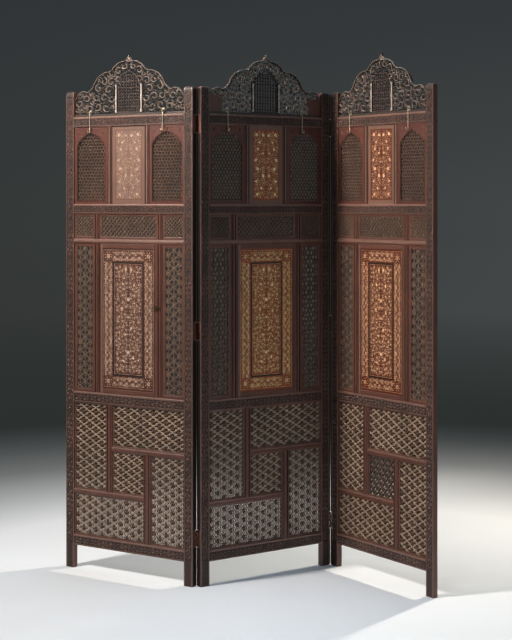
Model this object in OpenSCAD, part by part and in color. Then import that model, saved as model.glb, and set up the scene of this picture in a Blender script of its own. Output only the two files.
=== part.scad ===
// Three-leaf mashrabiya folding screen: hardwood leaves with a pierced crest, bead grilles,
// an inlaid upper panel and an inlaid door each, joined by brass butt hinges in a zigzag.
// Millimetres, +Z up. The viewer stands on the -Y side, and +X is to the viewer's right.
// A leaf is drawn in its own frame: x (called u) along it from its left end, y (called v)
// from its front face to its back, z up from the floor. leaf_place() stands it in the row.

/* [Leaf] */
// Width of a leaf over its stiles
leaf_w = 578; // [480:1:640]
// Thickness of the stiles and rails
leaf_t = 22; // [20:0.5:28]
// Width of a stile
stile_w = 38; // [34:1:46]
// Height of the posts above the top rail
post_rise = 96; // [80:1:130]

/* [Stance] */
// Angle of the left leaf to the line of the row, its near end to the right
left_angle = 32.5; // [0:0.5:50]
// Angle of the middle leaf, its near end to the left
middle_angle = 35; // [0:0.5:50]
// Angle of the right leaf, its near end to the right
right_angle = 55.5; // [0:0.5:70]
// Gap between the edges of two leaves when they stand in one plane
fold_gap = 3; // [2.6:0.1:5]

/* [Rails and tiers, from the floor up] */
// Clear height under the bottom rail
foot_h = 86; // [60:1:120]
// Height of the bottom rail
bottom_rail_h = 41; // [30:1:55]
// Height of the lower tier
lower_tier_h = 494; // [420:1:560]
// Height of the lock rail
lock_rail_h = 41; // [30:1:55]
// Height of the door tier
door_tier_h = 552; // [480:1:620]
// Height of the thin rail over the door
thin_rail_h = 17; // [16:1:26]
// Height of the frieze row
frieze_h = 93; // [70:1:120]
// Height of the waist rail
waist_rail_h = 36; // [28:1:50]
// Height of the upper tier
upper_tier_h = 286; // [240:1:330]
// Height of the top rail
top_rail_h = 38; // [30:1:50]

/* [Bars] */
// Set-back of bars and door from the leaf's front face
bar_inset = 2; // [1:0.5:3]
// Width of the upright bars in the upper tier
upper_bar_w = 21; // [16:1:28]
// Width of the upper inlaid panel between its bars
top_panel_w = 150; // [120:1:180]
// Width of the upright bars beside the door and in the frieze
middle_bar_w = 22; // [16:1:28]
// Width of the door's opening between its bars
door_opening_w = 266; // [230:1:290]
// Width of the two tall grilles of the lower tier
tall_grille_w = 152; // [120:1:175]
// Height of the two wide grilles of the lower tier
wide_grille_h = 154; // [120:1:180]
// Width of the upright bars of the lower tier
lower_upright_w = 26; // [18:1:32]
// Height of the level bars of the lower tier
lower_level_h = 17; // [14:1:24]

/* [Joinery] */
// Thickness of all tenons
tenon_t = 8; // [6:0.5:10]
// Length of the rails' tenons in the stiles
tenon_l = 20; // [12:1:26]
// Shoulder above and below a tenon
tenon_shoulder = 5; // [4:0.5:6]
// Length of the bars' stub tenons
stub_l = 6; // [4.5:0.5:8]
// Depth of the grooves that hold grilles and panels
groove = 3; // [2:0.5:4]
// Play of tenons and grooved plates in their seats
joint_fit = 0.15; // [0.05:0.05:0.3]

/* [Grilles] */
// Thickness of a grille
grille_t = 8; // [6:0.5:9]
// Pitch of the square grilles
square_pitch = 24; // [18:1:32]
// Pitch of the diagonal grilles
diamond_pitch = 36; // [28:1:48]
// Width of the grilles' members
lattice_bar = 5; // [3:0.5:7]
// Plain border of the square grilles at the sides
square_rim_u = 14; // [8:1:18]
// Plain border of the square grilles above and below
square_rim_z = 11; // [6:1:16]
// Plain border of the diagonal grilles
diamond_rim = 4; // [3:0.5:8]

/* [Arched boards and panels] */
// Thickness of an arched board
arch_board_t = 6; // [4:0.5:7]
// Width of the board on each side of the arched opening
arch_jamb = 13.5; // [8:0.5:20]
// Bottom of the arched opening above the tier's bottom
arch_sill = 12; // [6:1:20]
// Height of the board above the arched opening's point
arch_head = 24; // [10:1:40]
// Height of the pointed part of the arched opening
arch_rise = 47; // [30:1:52]
// Thickness of the inlaid panels
panel_t = 8; // [6:0.5:9]

/* [Door] */
// Thickness of the door
door_t = 16; // [14:0.5:17]
// Width of the door's frame members
door_frame_w = 16; // [15:0.5:22]
// Running gap round the door
door_gap = 0.8; // [0.6:0.1:1.5]
// Set-back of the inlaid panel in the door
door_panel_inset = 3; // [2:0.5:4]
// Length of the stub tenons of the door's frame
door_stub_l = 3.5; // [2:0.5:4]
// Diameter of the door's pivot pins
pivot_d = 4; // [3:0.5:5]
// Length of a pivot pin on each side of the joint
pivot_reach = 6; // [4:0.5:8]
// Running play of turning pins in their bores, on the radius
pin_play = 0.1; // [0.05:0.01:0.2]
// Play of fixed pins in their bores, on the radius
pin_fit = 0.05; // [0.03:0.01:0.08]

/* [Crest] */
// Height of the crest's apex above the top rail
crest_h = 222; // [180:1:260]
// Thickness of the crest board
crest_t = 12; // [10:0.5:16]
// Solid band at the foot of the crest
crest_band = 24; // [20:1:34]
// Width of the grille opening in the crest
crest_arch_w = 104; // [80:1:120]
// Sill of the grille opening above the top rail
crest_arch_sill = 14; // [8:1:20]
// Height of the straight part of the grille opening
crest_arch_straight = 102; // [80:1:112]
// Height of the pointed part of the grille opening
crest_arch_rise = 45; // [30:1:50]
// Thickness of the crest's grille
crest_grille_t = 5; // [4:0.5:7]
// Radius of the half-round colonettes
colonette_r = 3.5; // [2.5:0.5:4.5]
// Pitch of the pierced scrollwork
pierce_pitch = 20; // [17:1:28]
// Radius of a piercing
pierce_r = 5.6; // [4:0.2:6.5]
// Least wood between a piercing and the crest's edge
pierce_margin = 5; // [4:0.5:8]

/* [Fold hinges] */
// Height of a hinge
hinge_h = 60; // [45:1:80]
// Width of a hinge plate
hinge_plate_w = 16; // [12:0.5:19]
// Thickness of a hinge plate
hinge_plate_t = 1.5; // [1.2:0.1:2]
// Radius of the knuckles
knuckle_r = 2.5; // [2.3:0.1:2.7]
// Distance from the leaf's face out to the hinge pin
pin_out = 2.6; // [2.5:0.1:3.5]
// Radius of the hinge pin
hinge_pin_r = 1.25; // [1:0.05:1.5]
// Running gap between two knuckles
knuckle_gap = 0.3; // [0.2:0.1:0.6]
// Height of the lowest hinge's foot
hinge_low_z = 140; // [100:1:220]
// Radius of a screw's head
screw_head_r = 2.8; // [2.2:0.1:3.2]
// Radius of a screw's shank
screw_r = 1.3; // [1:0.1:1.6]
// Length of a screw
screw_l = 13; // [9:1:16]

/* [Hooks] */
// Distance of the left hook from the leaf's left end
hook_left_u = 115; // [90:1:150]
// Distance of the right hook from the leaf's right end
hook_right_in = 130; // [90:1:150]
// Height of the hook's pin above the top rail
hook_pin_rise = 14; // [12:1:18]
// Distance of the hook's pin in front of the leaf
hook_pin_out = 3; // [2.5:0.5:4]
// Length from the pin to the middle of the hook's curl
hook_drop = 70; // [50:1:85]
// Thickness of the hook's wire
hook_wire = 2.6; // [2:0.2:3.2]
// Mean radius of the hook's curl
hook_curl_r = 5.5; // [4.5:0.5:7]
// Gap between the hanging hook and the rail
hook_clear = 0.5; // [0.3:0.1:1]

/* [Catch of the left door] */
// Height of the catch above the lock rail
catch_rise = 320; // [200:1:420]
// Length of the catch's strap
strap_l = 25; // [22:0.5:30]
// Height of the catch's strap
strap_h = 12; // [10:0.5:16]
// Thickness of the catch's brass
strap_t = 1; // [0.8:0.1:1.4]
// Distance from the door's edge back to the strap's pin
catch_setback = 9; // [8:0.5:10]

/* [Hidden] */
$fn = 40;
eps = 0.01;
HEART = "#6a4334";
RAIL = "#5c3a2d";
BEAD = "#4c2f25";
INLAY = "#9a6a41";
BRASS = "#c9a14e";
STEEL = "#8d8a86";

// Heights of the tiers' and rails' lower edges
bottom_rail_z = foot_h;
lower_tier_z = bottom_rail_z + bottom_rail_h;
lock_rail_z = lower_tier_z + lower_tier_h;
door_tier_z = lock_rail_z + lock_rail_h;
thin_rail_z = door_tier_z + door_tier_h;
frieze_z = thin_rail_z + thin_rail_h;
waist_rail_z = frieze_z + frieze_h;
upper_tier_z = waist_rail_z + waist_rail_h;
top_rail_z = upper_tier_z + upper_tier_h;
crest_z = top_rail_z + top_rail_h;
post_h = crest_z + post_rise;
RAILS = [
    [bottom_rail_z, bottom_rail_h], [lock_rail_z, lock_rail_h], [thin_rail_z, thin_rail_h],
    [waist_rail_z, waist_rail_h], [top_rail_z, top_rail_h]
];

// Daylight between the stiles, and depths in the leaf
in0 = stile_w;
in1 = leaf_w - stile_w;
mid_u = leaf_w / 2;
mid_v = leaf_t / 2;
bar_t = leaf_t - 2 * bar_inset;
arch_v = bar_inset + 1;
panel_v = mid_v - panel_t / 2;
grille_v = mid_v - grille_t / 2;
crest_front = mid_v - crest_t / 2;

// Bars as [left, right, bottom, top, upright?]
ub = top_panel_w / 2;
mb = door_opening_w / 2;
v1_u = in0 + tall_grille_w;
v2_u = in1 - tall_grille_w;
h2_z = lower_tier_z + wide_grille_h;
h1_z = lock_rail_z - wide_grille_h;
BARS = [
    [mid_u - ub - upper_bar_w, mid_u - ub, upper_tier_z, top_rail_z, true],
    [mid_u + ub, mid_u + ub + upper_bar_w, upper_tier_z, top_rail_z, true],
    [mid_u - mb - middle_bar_w, mid_u - mb, frieze_z, waist_rail_z, true],
    [mid_u + mb, mid_u + mb + middle_bar_w, frieze_z, waist_rail_z, true],
    [mid_u - mb - middle_bar_w, mid_u - mb, door_tier_z, thin_rail_z, true],
    [mid_u + mb, mid_u + mb + middle_bar_w, door_tier_z, thin_rail_z, true],
    [v1_u, v1_u + lower_upright_w, h2_z + lower_level_h, lock_rail_z, true],
    [v2_u - lower_upright_w, v2_u, lower_tier_z, h1_z - lower_level_h, true],
    [v1_u + lower_upright_w, in1, h1_z - lower_level_h, h1_z, false],
    [in0, v2_u - lower_upright_w, h2_z, h2_z + lower_level_h, false]
];

// Plates in the leaf as [left, right, bottom, top] of the daylight that each fills
ARCHES = [
    [in0, BARS[0][0], upper_tier_z, top_rail_z],
    [BARS[1][1], in1, upper_tier_z, top_rail_z]
];
TOP_PANEL = [BARS[0][1], BARS[1][0], upper_tier_z, top_rail_z];
SQUARES = [
    [in0, BARS[2][0], frieze_z, waist_rail_z],
    [BARS[2][1], BARS[3][0], frieze_z, waist_rail_z],
    [BARS[3][1], in1, frieze_z, waist_rail_z],
    [in0, BARS[4][0], door_tier_z, thin_rail_z],
    [BARS[5][1], in1, door_tier_z, thin_rail_z]
];
DIAMONDS = [
    [in0, v1_u, h2_z + lower_level_h, lock_rail_z],
    [v1_u + lower_upright_w, in1, h1_z, lock_rail_z],
    [v1_u + lower_upright_w, v2_u - lower_upright_w, h2_z + lower_level_h,
        h1_z - lower_level_h],
    [v2_u, in1, lower_tier_z, h1_z - lower_level_h],
    [in0, v2_u - lower_upright_w, lower_tier_z, h2_z]
];

// Door: its edges, its pivot, and the place of the catch
door_u0 = mid_u - mb + door_gap;
door_u1 = mid_u + mb - door_gap;
door_z0 = door_tier_z + door_gap;
door_z1 = thin_rail_z - door_gap;
door_v = bar_inset;
pivot_u = door_u0 + door_t / 2;
pivot_v = door_v + door_t / 2;
DOOR_PANEL = [door_u0 + door_frame_w, door_u1 - door_frame_w, door_z0 + door_frame_w,
    door_z1 - door_frame_w];
catch_z = door_tier_z + catch_rise;

// Folds: where each leaf stands, from the pins that it shares with its neighbour
function turn(a, p) = [p[0] * cos(a) - p[1] * sin(a), p[0] * sin(a) + p[1] * cos(a)];
left_turn = -left_angle;
middle_turn = middle_angle;
right_turn = -right_angle;
back_pin_v = leaf_t + pin_out;
left_at = turn(middle_turn, [-fold_gap / 2, back_pin_v])
    - turn(left_turn, [leaf_w + fold_gap / 2, back_pin_v]);
right_at = turn(middle_turn, [leaf_w + fold_gap / 2, -pin_out])
    - turn(right_turn, [-fold_gap / 2, -pin_out]);
LEFT = 0;
MIDDLE = 1;
RIGHT = 2;
LEAVES = [[left_at, left_turn], [[0, 0], middle_turn], [right_at, right_turn]];
CORNERS = [for (leaf = LEAVES, u = [0, leaf_w], v = [0, leaf_t])
    leaf[0] + turn(leaf[1], [u, v])];
row_mid = [for (k = [0, 1]) let(c = [for (p = CORNERS) p[k]]) (min(c) + max(c)) / 2];
hinge_top_z = top_rail_z - hinge_h / 2;
HINGE_Z = [hinge_low_z, (hinge_low_z + hinge_top_z) / 2, hinge_top_z];

// ---- Placing ----

module leaf_place(k) {
    translate([LEAVES[k][0][0] - row_mid[0], LEAVES[k][0][1] - row_mid[1], 0])
        rotate([0, 0, LEAVES[k][1]]) children();
}

// Stands a flat shape drawn in (u, z) up in the leaf, its front at depth v
module upright(v, t) {
    translate([0, v + t, 0]) rotate([90, 0, 0]) linear_extrude(t) children();
}

// A box over [u0, u1, z0, z1], grown by g
module slab(b, v, t, g = 0) {
    translate([b[0] - g, v, b[2] - g]) cube([b[1] - b[0] + 2 * g, t, b[3] - b[2] + 2 * g]);
}

// ---- Flat shapes ----

// Points of an arc from a to b that swells by s to the left of that way
function arc(a, b, s, n = 5) = let(c = norm(b - a), d = (b - a) / c)
    abs(s) < eps ? [a, b] :
    let(r = (c * c / 4 + s * s) / (2 * s), h = 2 * atan(2 * s / c))
    [for (i = [0:n]) let(f = h * (2 * i / n - 1))
        a + d * (c / 2 + r * sin(f)) + [-d[1], d[0]] * (r * cos(f) - (r - s))];

function mirrored(pts) = [for (i = [len(pts) - 1:-1:0]) [-pts[i][0], pts[i][1]]];

// A pointed opening about x = 0, from its sill up
function pointed(w, straight, rise, swell) =
    let(side = arc([0, straight + rise], [w / 2, straight], swell))
    concat([[-w / 2, 0]], mirrored(side), [for (i = [1:len(side) - 1]) side[i]], [[w / 2, 0]]);

// The crest's right half, from its apex down to the post. Each swell is that of the arc
// which ends at the next knot: a bud, two lobes and a scroll end
CREST_KNOTS = [[0, 1], [19, 0.9], [76, 0.766], [90, 0.738], [164, 0.505], [192, 0.41],
    [240, 0.355], [251, 0.29]];
CREST_SWELLS = [-3, 8, -1, 15, -3, 10, -1];
half_in = (in1 - in0) / 2;
function knot(i) = [CREST_KNOTS[i][0] * half_in / 251, CREST_KNOTS[i][1] * crest_h];
crest_side = concat(
    [for (i = [0:len(CREST_SWELLS) - 1])
        let(a = arc(knot(i), knot(i + 1), CREST_SWELLS[i])) each [for (j = [0:len(a) - 2]) a[j]]],
    [knot(len(CREST_SWELLS))]
);
crest_post_clear = 10;
crest_end = min(knot(len(CREST_KNOTS) - 1)[1], post_rise - crest_post_clear);

// The outline with its tongues, which sit in grooves of the top rail and the posts
module crest_outline() {
    top = crest_end - joint_fit;
    tongue = [[half_in, top], [half_in + groove, top], [half_in + groove, -groove]];
    left_side = mirrored(crest_side);
    polygon(concat(mirrored(tongue), [for (i = [0:len(left_side) - 2]) left_side[i]],
        crest_side, tongue));
}

module square_holes(w, h, rim_u, rim_z) {
    nu = max(1, round((w - 2 * rim_u) / square_pitch));
    nz = max(1, round((h - 2 * rim_z) / square_pitch));
    pu = (w - 2 * rim_u) / nu;
    pz = (h - 2 * rim_z) / nz;
    for (i = [0:nu - 1], j = [0:nz - 1])
        translate([rim_u + (i + 0.5) * pu, rim_z + (j + 0.5) * pz])
            square([pu - lattice_bar, pz - lattice_bar], center = true);
}

module diamond_holes(w, h, rim) {
    nu = max(1, round((w - 2 * rim) / diamond_pitch));
    nz = max(1, round((h - 2 * rim) / diamond_pitch));
    pu = (w - 2 * rim) / nu;
    pz = (h - 2 * rim) / nz;
    less = 1 - lattice_bar * norm([pu, pz]) / (pu * pz);
    a = pu / 2 * less;
    b = pz / 2 * less;
    for (i = [0:nu - 1], j = [0:nz - 1])
        translate([rim + (i + 0.5) * pu, rim + (j + 0.5) * pz])
            polygon([[a, 0], [0, b], [-a, 0], [0, -b]]);
    if (nu > 1 && nz > 1)
        for (i = [1:nu - 1], j = [1:nz - 1])
            translate([rim + i * pu, rim + j * pz])
                polygon([[a, 0], [0, b], [-a, 0], [0, -b]]);
}

// A grille plate over the daylight b, its border let into the grooves round it
module grille(b, v, t, diagonal = false) {
    w = b[1] - b[0];
    h = b[3] - b[2];
    upright(v, t) translate([b[0], b[2]]) difference() {
        translate([-groove, -groove]) square([w + 2 * groove, h + 2 * groove]);
        if (diagonal) diamond_holes(w, h, diamond_rim);
        else square_holes(w, h, square_rim_u, square_rim_z);
    }
}

// ---- Seats that pieces cut in their neighbours ----

module plate_seats() {
    g = groove + joint_fit;
    for (b = ARCHES) slab(b, arch_v - joint_fit, arch_board_t + grille_t + 2 * joint_fit, g);
    slab(TOP_PANEL, panel_v - joint_fit, panel_t + 2 * joint_fit, g);
    for (b = concat(SQUARES, DIAMONDS)) slab(b, grille_v - joint_fit, grille_t + 2 * joint_fit, g);
    slab([in0, in1, crest_z, crest_z + crest_end - g], crest_front - joint_fit,
        crest_t + 2 * joint_fit, g);
}

module rail_tenon(r, g = 0) {
    translate([in0 - tenon_l - g, mid_v - tenon_t / 2 - g, r[0] + tenon_shoulder - g])
        cube([in1 - in0 + 2 * (tenon_l + g), tenon_t + 2 * g,
            r[1] - 2 * tenon_shoulder + 2 * g]);
}

module bar_tenon(b, g = 0) {
    s = tenon_shoulder;
    c = b[4] ? [b[0] + s, b[1] - s, b[2] - stub_l, b[3] + stub_l]
        : [b[0] - stub_l, b[1] + stub_l, b[2] + s, b[3] - s];
    slab(c, mid_v - tenon_t / 2 - g, tenon_t + 2 * g, g);
}

// ---- Frame of a leaf ----

// hinged says on which face this stile's edge carries the fold hinges: "front", "back" or ""
module stile(right_side, hinged) {
    u = right_side ? in1 : 0;
    color(HEART) difference() {
        translate([u, 0, 0]) cube([stile_w, leaf_t, post_h]);
        for (r = RAILS) rail_tenon(r, joint_fit);
        for (b = BARS) if (!b[4]) bar_tenon(b, joint_fit);
        plate_seats();
        if (hinged != "") hinge_places(right_side, hinged == "back") hinge_mortise();
    }
}

module rails() {
    color(RAIL) for (r = RAILS) difference() {
        union() {
            translate([in0, 0, r[0]]) cube([in1 - in0, leaf_t, r[1]]);
            rail_tenon(r);
        }
        for (b = BARS) if (b[4]) bar_tenon(b, joint_fit);
        plate_seats();
        pivot_pins();
    }
}

// The bars' shoulders stand joint_fit clear, so that each stays a piece of its own
module bars(with_catch = false) {
    f = joint_fit;
    color(RAIL) for (i = [0:len(BARS) - 1]) let(b = BARS[i]) difference() {
        union() {
            slab(b[4] ? [b[0], b[1], b[2] + f, b[3] - f] : [b[0] + f, b[1] - f, b[2], b[3]],
                bar_inset, bar_t);
            bar_tenon(b);
        }
        for (j = [0:len(BARS) - 1]) if (j != i) bar_tenon(BARS[j], joint_fit);
        plate_seats();
        if (with_catch) at_catch() catch_staple_wire();
    }
}

// ---- Crest ----

function crest_free(x, z) =
    z - pierce_r > crest_band
    && abs(x) - pierce_r > crest_arch_w / 2 + 2 * colonette_r + 3
    && abs(x) + pierce_r < half_in - pierce_margin
    && z + pierce_r + pierce_margin
        < min([for (k = [-1, 0, 1]) lookup(abs(x) + k * pierce_r, crest_side)]);

function over_arch(x, z) =
    z - pierce_r - 3 > crest_arch_sill + crest_arch_straight + crest_arch_rise
    && z + pierce_r + pierce_margin
        < min([for (k = [-1, 0, 1]) lookup(abs(x) + k * pierce_r, crest_side)]);

module crest_opening() {
    translate([0, crest_arch_sill])
        polygon(pointed(crest_arch_w, crest_arch_straight, crest_arch_rise, 8));
}

module crest() {
    rows = ceil(crest_h / pierce_pitch);
    half = ceil(half_in / pierce_pitch);
    color(HEART) upright(crest_front, crest_t) translate([mid_u, crest_z]) difference() {
        crest_outline();
        crest_opening();
        for (j = [0:rows], i = [-half:half])
            let(x = (i + (j % 2 == 0 ? 0 : 0.5)) * pierce_pitch,
                z = crest_band + pierce_r + 1 + j * pierce_pitch * 0.85)
                if (crest_free(x, z) || over_arch(x, z))
                    translate([x, z]) rotate(30) circle(pierce_r, $fn = 6);
    }
}

module crest_arch() {
    color(BEAD) upright(mid_v - crest_grille_t / 2, crest_grille_t)
        translate([mid_u, crest_z]) difference() {
            crest_opening();
            translate([-crest_arch_w / 2, crest_arch_sill])
                square_holes(crest_arch_w, crest_arch_straight, 5, 5);
        }
    color(RAIL) for (s = [-1, 1])
        translate([mid_u + s * (crest_arch_w / 2 + colonette_r + 2), crest_front,
            crest_z + crest_arch_sill]) colonette(crest_arch_straight);
}

// Half-round shaft with a block at its foot and at its head, its flat back on v = 0
module colonette(h) {
    difference() {
        union() {
            cylinder(r = colonette_r, h = h);
            for (z = [0, h - 7]) translate([-colonette_r - 1, -colonette_r - 0.5, z])
                cube([2 * colonette_r + 2, colonette_r + 0.5, 7]);
        }
        translate([-2 * colonette_r, 0, -1]) cube([4 * colonette_r, 2 * colonette_r, h + 2]);
    }
}

// ---- Boards, grilles and panels of a leaf ----

module arch_boards() {
    color(HEART) for (b = ARCHES) upright(arch_v, arch_board_t) difference() {
        translate([b[0] - groove, b[2] - groove])
            square([b[1] - b[0] + 2 * groove, b[3] - b[2] + 2 * groove]);
        translate([(b[0] + b[1]) / 2, b[2] + arch_sill])
            polygon(pointed(b[1] - b[0] - 2 * arch_jamb,
                b[3] - b[2] - arch_sill - arch_rise - arch_head, arch_rise, 10));
    }
}

module upper_grilles() {
    color(BEAD) {
        for (b = ARCHES) grille(b, arch_v + arch_board_t, grille_t);
        for (b = SQUARES) grille(b, grille_v, grille_t);
    }
}

module lower_grilles() {
    color(BEAD) for (b = DIAMONDS) grille(b, grille_v, grille_t, true);
}

module top_panel() {
    color(INLAY) slab(TOP_PANEL, panel_v, panel_t, groove);
}

// ---- Door ----

module pivot_pins() {
    for (z = [door_tier_z, thin_rail_z]) translate([pivot_u, pivot_v, z - pivot_reach])
        cylinder(d = pivot_d, h = 2 * pivot_reach);
}

module door_pivots() {
    color(STEEL) pivot_pins();
}

// The groove that holds the door's panel, and the panel itself with no play
module door_panel_body(g = 0) {
    slab(DOOR_PANEL, door_v + door_panel_inset - g, panel_t + 2 * g, groove + g);
}

module door_rail_tenon(z, g = 0) {
    slab([DOOR_PANEL[0] - door_stub_l, DOOR_PANEL[1] + door_stub_l, z + 4,
        z + door_frame_w - 4], pivot_v - 2.5 - g, 5 + 2 * g, g);
}

module door_frame() {
    top = door_z1 - door_frame_w;
    bore = pivot_reach + 1;
    color(RAIL) {
        difference() {
            union() {
                translate([pivot_u, pivot_v, door_z0])
                    cylinder(d = door_t, h = door_z1 - door_z0);
                slab([pivot_u, DOOR_PANEL[0], door_z0, door_z1], door_v, door_t);
            }
            for (z = [door_z0, top]) door_rail_tenon(z, joint_fit);
            door_panel_body(joint_fit);
            for (z = [door_z0 - 1, door_z1 - bore]) translate([pivot_u, pivot_v, z])
                cylinder(r = pivot_d / 2 + pin_play, h = bore + 1);
        }
        difference() {
            slab([DOOR_PANEL[1], door_u1, door_z0, door_z1], door_v, door_t);
            for (z = [door_z0, top]) door_rail_tenon(z, joint_fit);
            door_panel_body(joint_fit);
        }
        for (z = [door_z0, top]) difference() {
            union() {
                slab([DOOR_PANEL[0] + joint_fit, DOOR_PANEL[1] - joint_fit, z,
                    z + door_frame_w], door_v, door_t);
                door_rail_tenon(z);
            }
            door_panel_body(joint_fit);
        }
    }
}

module door_panel() {
    color(INLAY) door_panel_body();
}

// ---- Fold hinges ----
// A hinge half is drawn about its pin: its plate lies on +x past half the gap between the
// leaves, and the leaf's wood begins pin_out along +y. It stands from z = 0 up to hinge_h.

KNUCKLES = 5;
knuckle_h = hinge_h / KNUCKLES;
SCREWS = [[0.2, 0.35], [0.5, 0.7], [0.8, 0.35]];

// The children at each hinge of one end of a leaf
module hinge_places(right_end, at_back) {
    for (z = HINGE_Z)
        translate([right_end ? leaf_w + fold_gap / 2 : -fold_gap / 2,
            at_back ? back_pin_v : -pin_out, z])
            mirror([right_end ? 1 : 0, 0, 0]) mirror([0, at_back ? 1 : 0, 0]) children();
}

module hinge_plate() {
    translate([fold_gap / 2, pin_out, 0]) cube([hinge_plate_t, hinge_plate_w, hinge_h]);
}

module hinge_screws() {
    for (s = SCREWS)
        translate([fold_gap / 2, pin_out + s[1] * hinge_plate_w, s[0] * hinge_h])
            rotate([0, 90, 0]) {
                cylinder(r1 = screw_head_r, r2 = screw_r, h = hinge_plate_t);
                cylinder(r = screw_r, h = screw_l);
            }
}

module steel_screws() {
    color(STEEL) hinge_screws();
}

// What the hinge half takes out of the stile
module hinge_mortise() {
    hinge_plate();
    hinge_screws();
}

module hinge_half(own, bore) {
    difference() {
        union() {
            hinge_plate();
            for (k = own) translate([0, 0, k * knuckle_h + knuckle_gap / 2]) {
                cylinder(r = knuckle_r, h = knuckle_h - knuckle_gap);
                translate([fold_gap / 2, 0, 0])
                    cube([hinge_plate_t, pin_out + 1, knuckle_h - knuckle_gap]);
            }
        }
        translate([0, 0, -1]) cylinder(r = bore, h = hinge_h + 2);
        hinge_screws();
    }
}

module hinge_fixed() {
    color(BRASS) {
        hinge_half([0, 2, 4], hinge_pin_r + pin_fit);
        cylinder(r = hinge_pin_r, h = hinge_h);
    }
}

module hinge_moving() {
    color(BRASS) hinge_half([1, 3], hinge_pin_r + pin_play);
}

// ---- Hooks ----

hook_z = crest_z + hook_pin_rise;
hook_right_u = leaf_w - hook_right_in;
hook_eye_r = 3;
hook_pin_r = 1.2;
lug_t = 1.2;
lug_gap = hook_wire + 1;
staple_plate_t = 1.5;
staple_plate_h = 16;
// Drawn about the hook's pin, which runs along u
module hook_staple() {
    back = hook_pin_out + crest_front;
    w = lug_gap + 2 * lug_t + 4;
    translate([-w / 2, back - staple_plate_t, -staple_plate_h / 2])
        cube([w, staple_plate_t, staple_plate_h]);
    for (s = [-1, 1]) translate([s * (lug_gap + lug_t) / 2, 0, 0]) difference() {
        union() {
            rotate([0, 90, 0]) cylinder(r = hook_eye_r, h = lug_t, center = true);
            translate([-lug_t / 2, 0, -hook_eye_r])
                cube([lug_t, back - staple_plate_t, 2 * hook_eye_r]);
        }
        rotate([0, 90, 0]) cylinder(r = hook_pin_r + pin_fit, h = lug_t + 1, center = true);
    }
}

module hook_pin() {
    rotate([0, 90, 0]) cylinder(r = hook_pin_r, h = lug_gap + 2 * lug_t, center = true);
}

module hook() {
    shank_v = hook_pin_out - hook_clear - hook_wire / 2;
    w = hook_wire;
    color(BRASS) difference() {
        union() {
            rotate([0, 90, 0]) cylinder(r = hook_eye_r, h = w, center = true);
            translate([-w / 2, shank_v - w / 2, -hook_drop]) cube([w, w, hook_drop]);
            translate([0, shank_v - hook_curl_r, -hook_drop]) {
                rotate([0, 90, 0]) rotate([0, 0, -90]) rotate_extrude(angle = 180)
                    translate([hook_curl_r, 0]) square(w, center = true);
                translate([-w / 2, -hook_curl_r - w / 2, 0]) cube([w, w, hook_curl_r]);
            }
        }
        rotate([0, 90, 0])
            cylinder(r = hook_pin_r + pin_play, h = w + 1, center = true);
    }
}

module at_hook(u) {
    translate([u, -hook_pin_out, hook_z]) children();
}

module hook_staples() {
    color(BRASS) for (u = [hook_left_u, hook_right_u]) at_hook(u) {
        hook_staple();
        hook_pin();
    }
}

// ---- Catch of the left door ----
// Drawn about the strap's pin, which is upright. The strap lies along +x in front of the
// door's edge and the bar beside it, and its slot passes over a staple in that bar.

catch_knuckle_r = 1.9;
catch_pin_r = 0.8;
catch_out = catch_knuckle_r - 0.4 + strap_t;
catch_end = 4;
staple_edge = 8;
staple_u = catch_setback + door_gap + staple_edge;
staple_wire = 2;
staple_out = 4;
staple_in = 6;
slot_h = strap_h - 3.6;

module at_catch() {
    translate([door_u1 - catch_setback, door_v - catch_out, catch_z]) children();
}

module catch_plate() {
    h = strap_h / 2 + catch_end;
    color(BRASS) at_catch() {
        difference() {
            union() {
                translate([-6, catch_out - strap_t, -h])
                    cube([6 + catch_setback - 1, strap_t, 2 * h]);
                for (z = [-h, h - catch_end]) translate([0, 0, z])
                    cylinder(r = catch_knuckle_r, h = catch_end);
            }
            cylinder(r = catch_pin_r + pin_fit, h = 4 * h, center = true);
            cylinder(r = catch_knuckle_r + pin_play, h = strap_h, center = true);
        }
        cylinder(r = catch_pin_r, h = 2 * h, center = true);
    }
}

module catch_strap() {
    h = strap_h - knuckle_gap;
    slot_w = staple_wire + 3;
    color(BRASS) at_catch() difference() {
        union() {
            cylinder(r = catch_knuckle_r, h = h, center = true);
            translate([0, -strap_t / 2, -h / 2]) cube([strap_l, strap_t, h]);
        }
        cylinder(r = catch_pin_r + pin_play, h = h + 1, center = true);
        translate([staple_u - slot_w / 2, -strap_t, -slot_h / 2])
            cube([slot_w, 2 * strap_t, slot_h]);
    }
}

module catch_staple_wire() {
    w = staple_wire;
    h = slot_h - 2;
    for (s = [-1, 1]) translate([staple_u - w / 2, -staple_out, s * (h - w) / 2 - w / 2])
        cube([w, staple_out + catch_out + staple_in, w]);
    translate([staple_u - w / 2, -staple_out, -h / 2]) cube([w, w, h]);
}

module catch_staple() {
    color(BRASS) at_catch() catch_staple_wire();
}

leaf_place(LEFT) stile(false, "");  // left_stile_l
leaf_place(LEFT) stile(true, "back");  // left_stile_r
leaf_place(LEFT) rails();  // left_rails
leaf_place(LEFT) bars(true);  // left_bars
leaf_place(LEFT) crest();  // left_crest
leaf_place(LEFT) crest_arch();  // left_crest_arch
leaf_place(LEFT) arch_boards();  // left_arch_boards
leaf_place(LEFT) upper_grilles();  // left_upper_grilles
leaf_place(LEFT) top_panel();  // left_top_panel
leaf_place(LEFT) lower_grilles();  // left_lower_grilles
leaf_place(LEFT) door_frame();  // left_door_frame
leaf_place(LEFT) door_panel();  // left_door_panel
leaf_place(LEFT) door_pivots();  // left_door_pivots
leaf_place(LEFT) hook_staples();  // left_hook_staples
leaf_place(LEFT) at_hook(hook_left_u) hook();  // left_hook_l
leaf_place(LEFT) at_hook(hook_right_u) hook();  // left_hook_r

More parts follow.
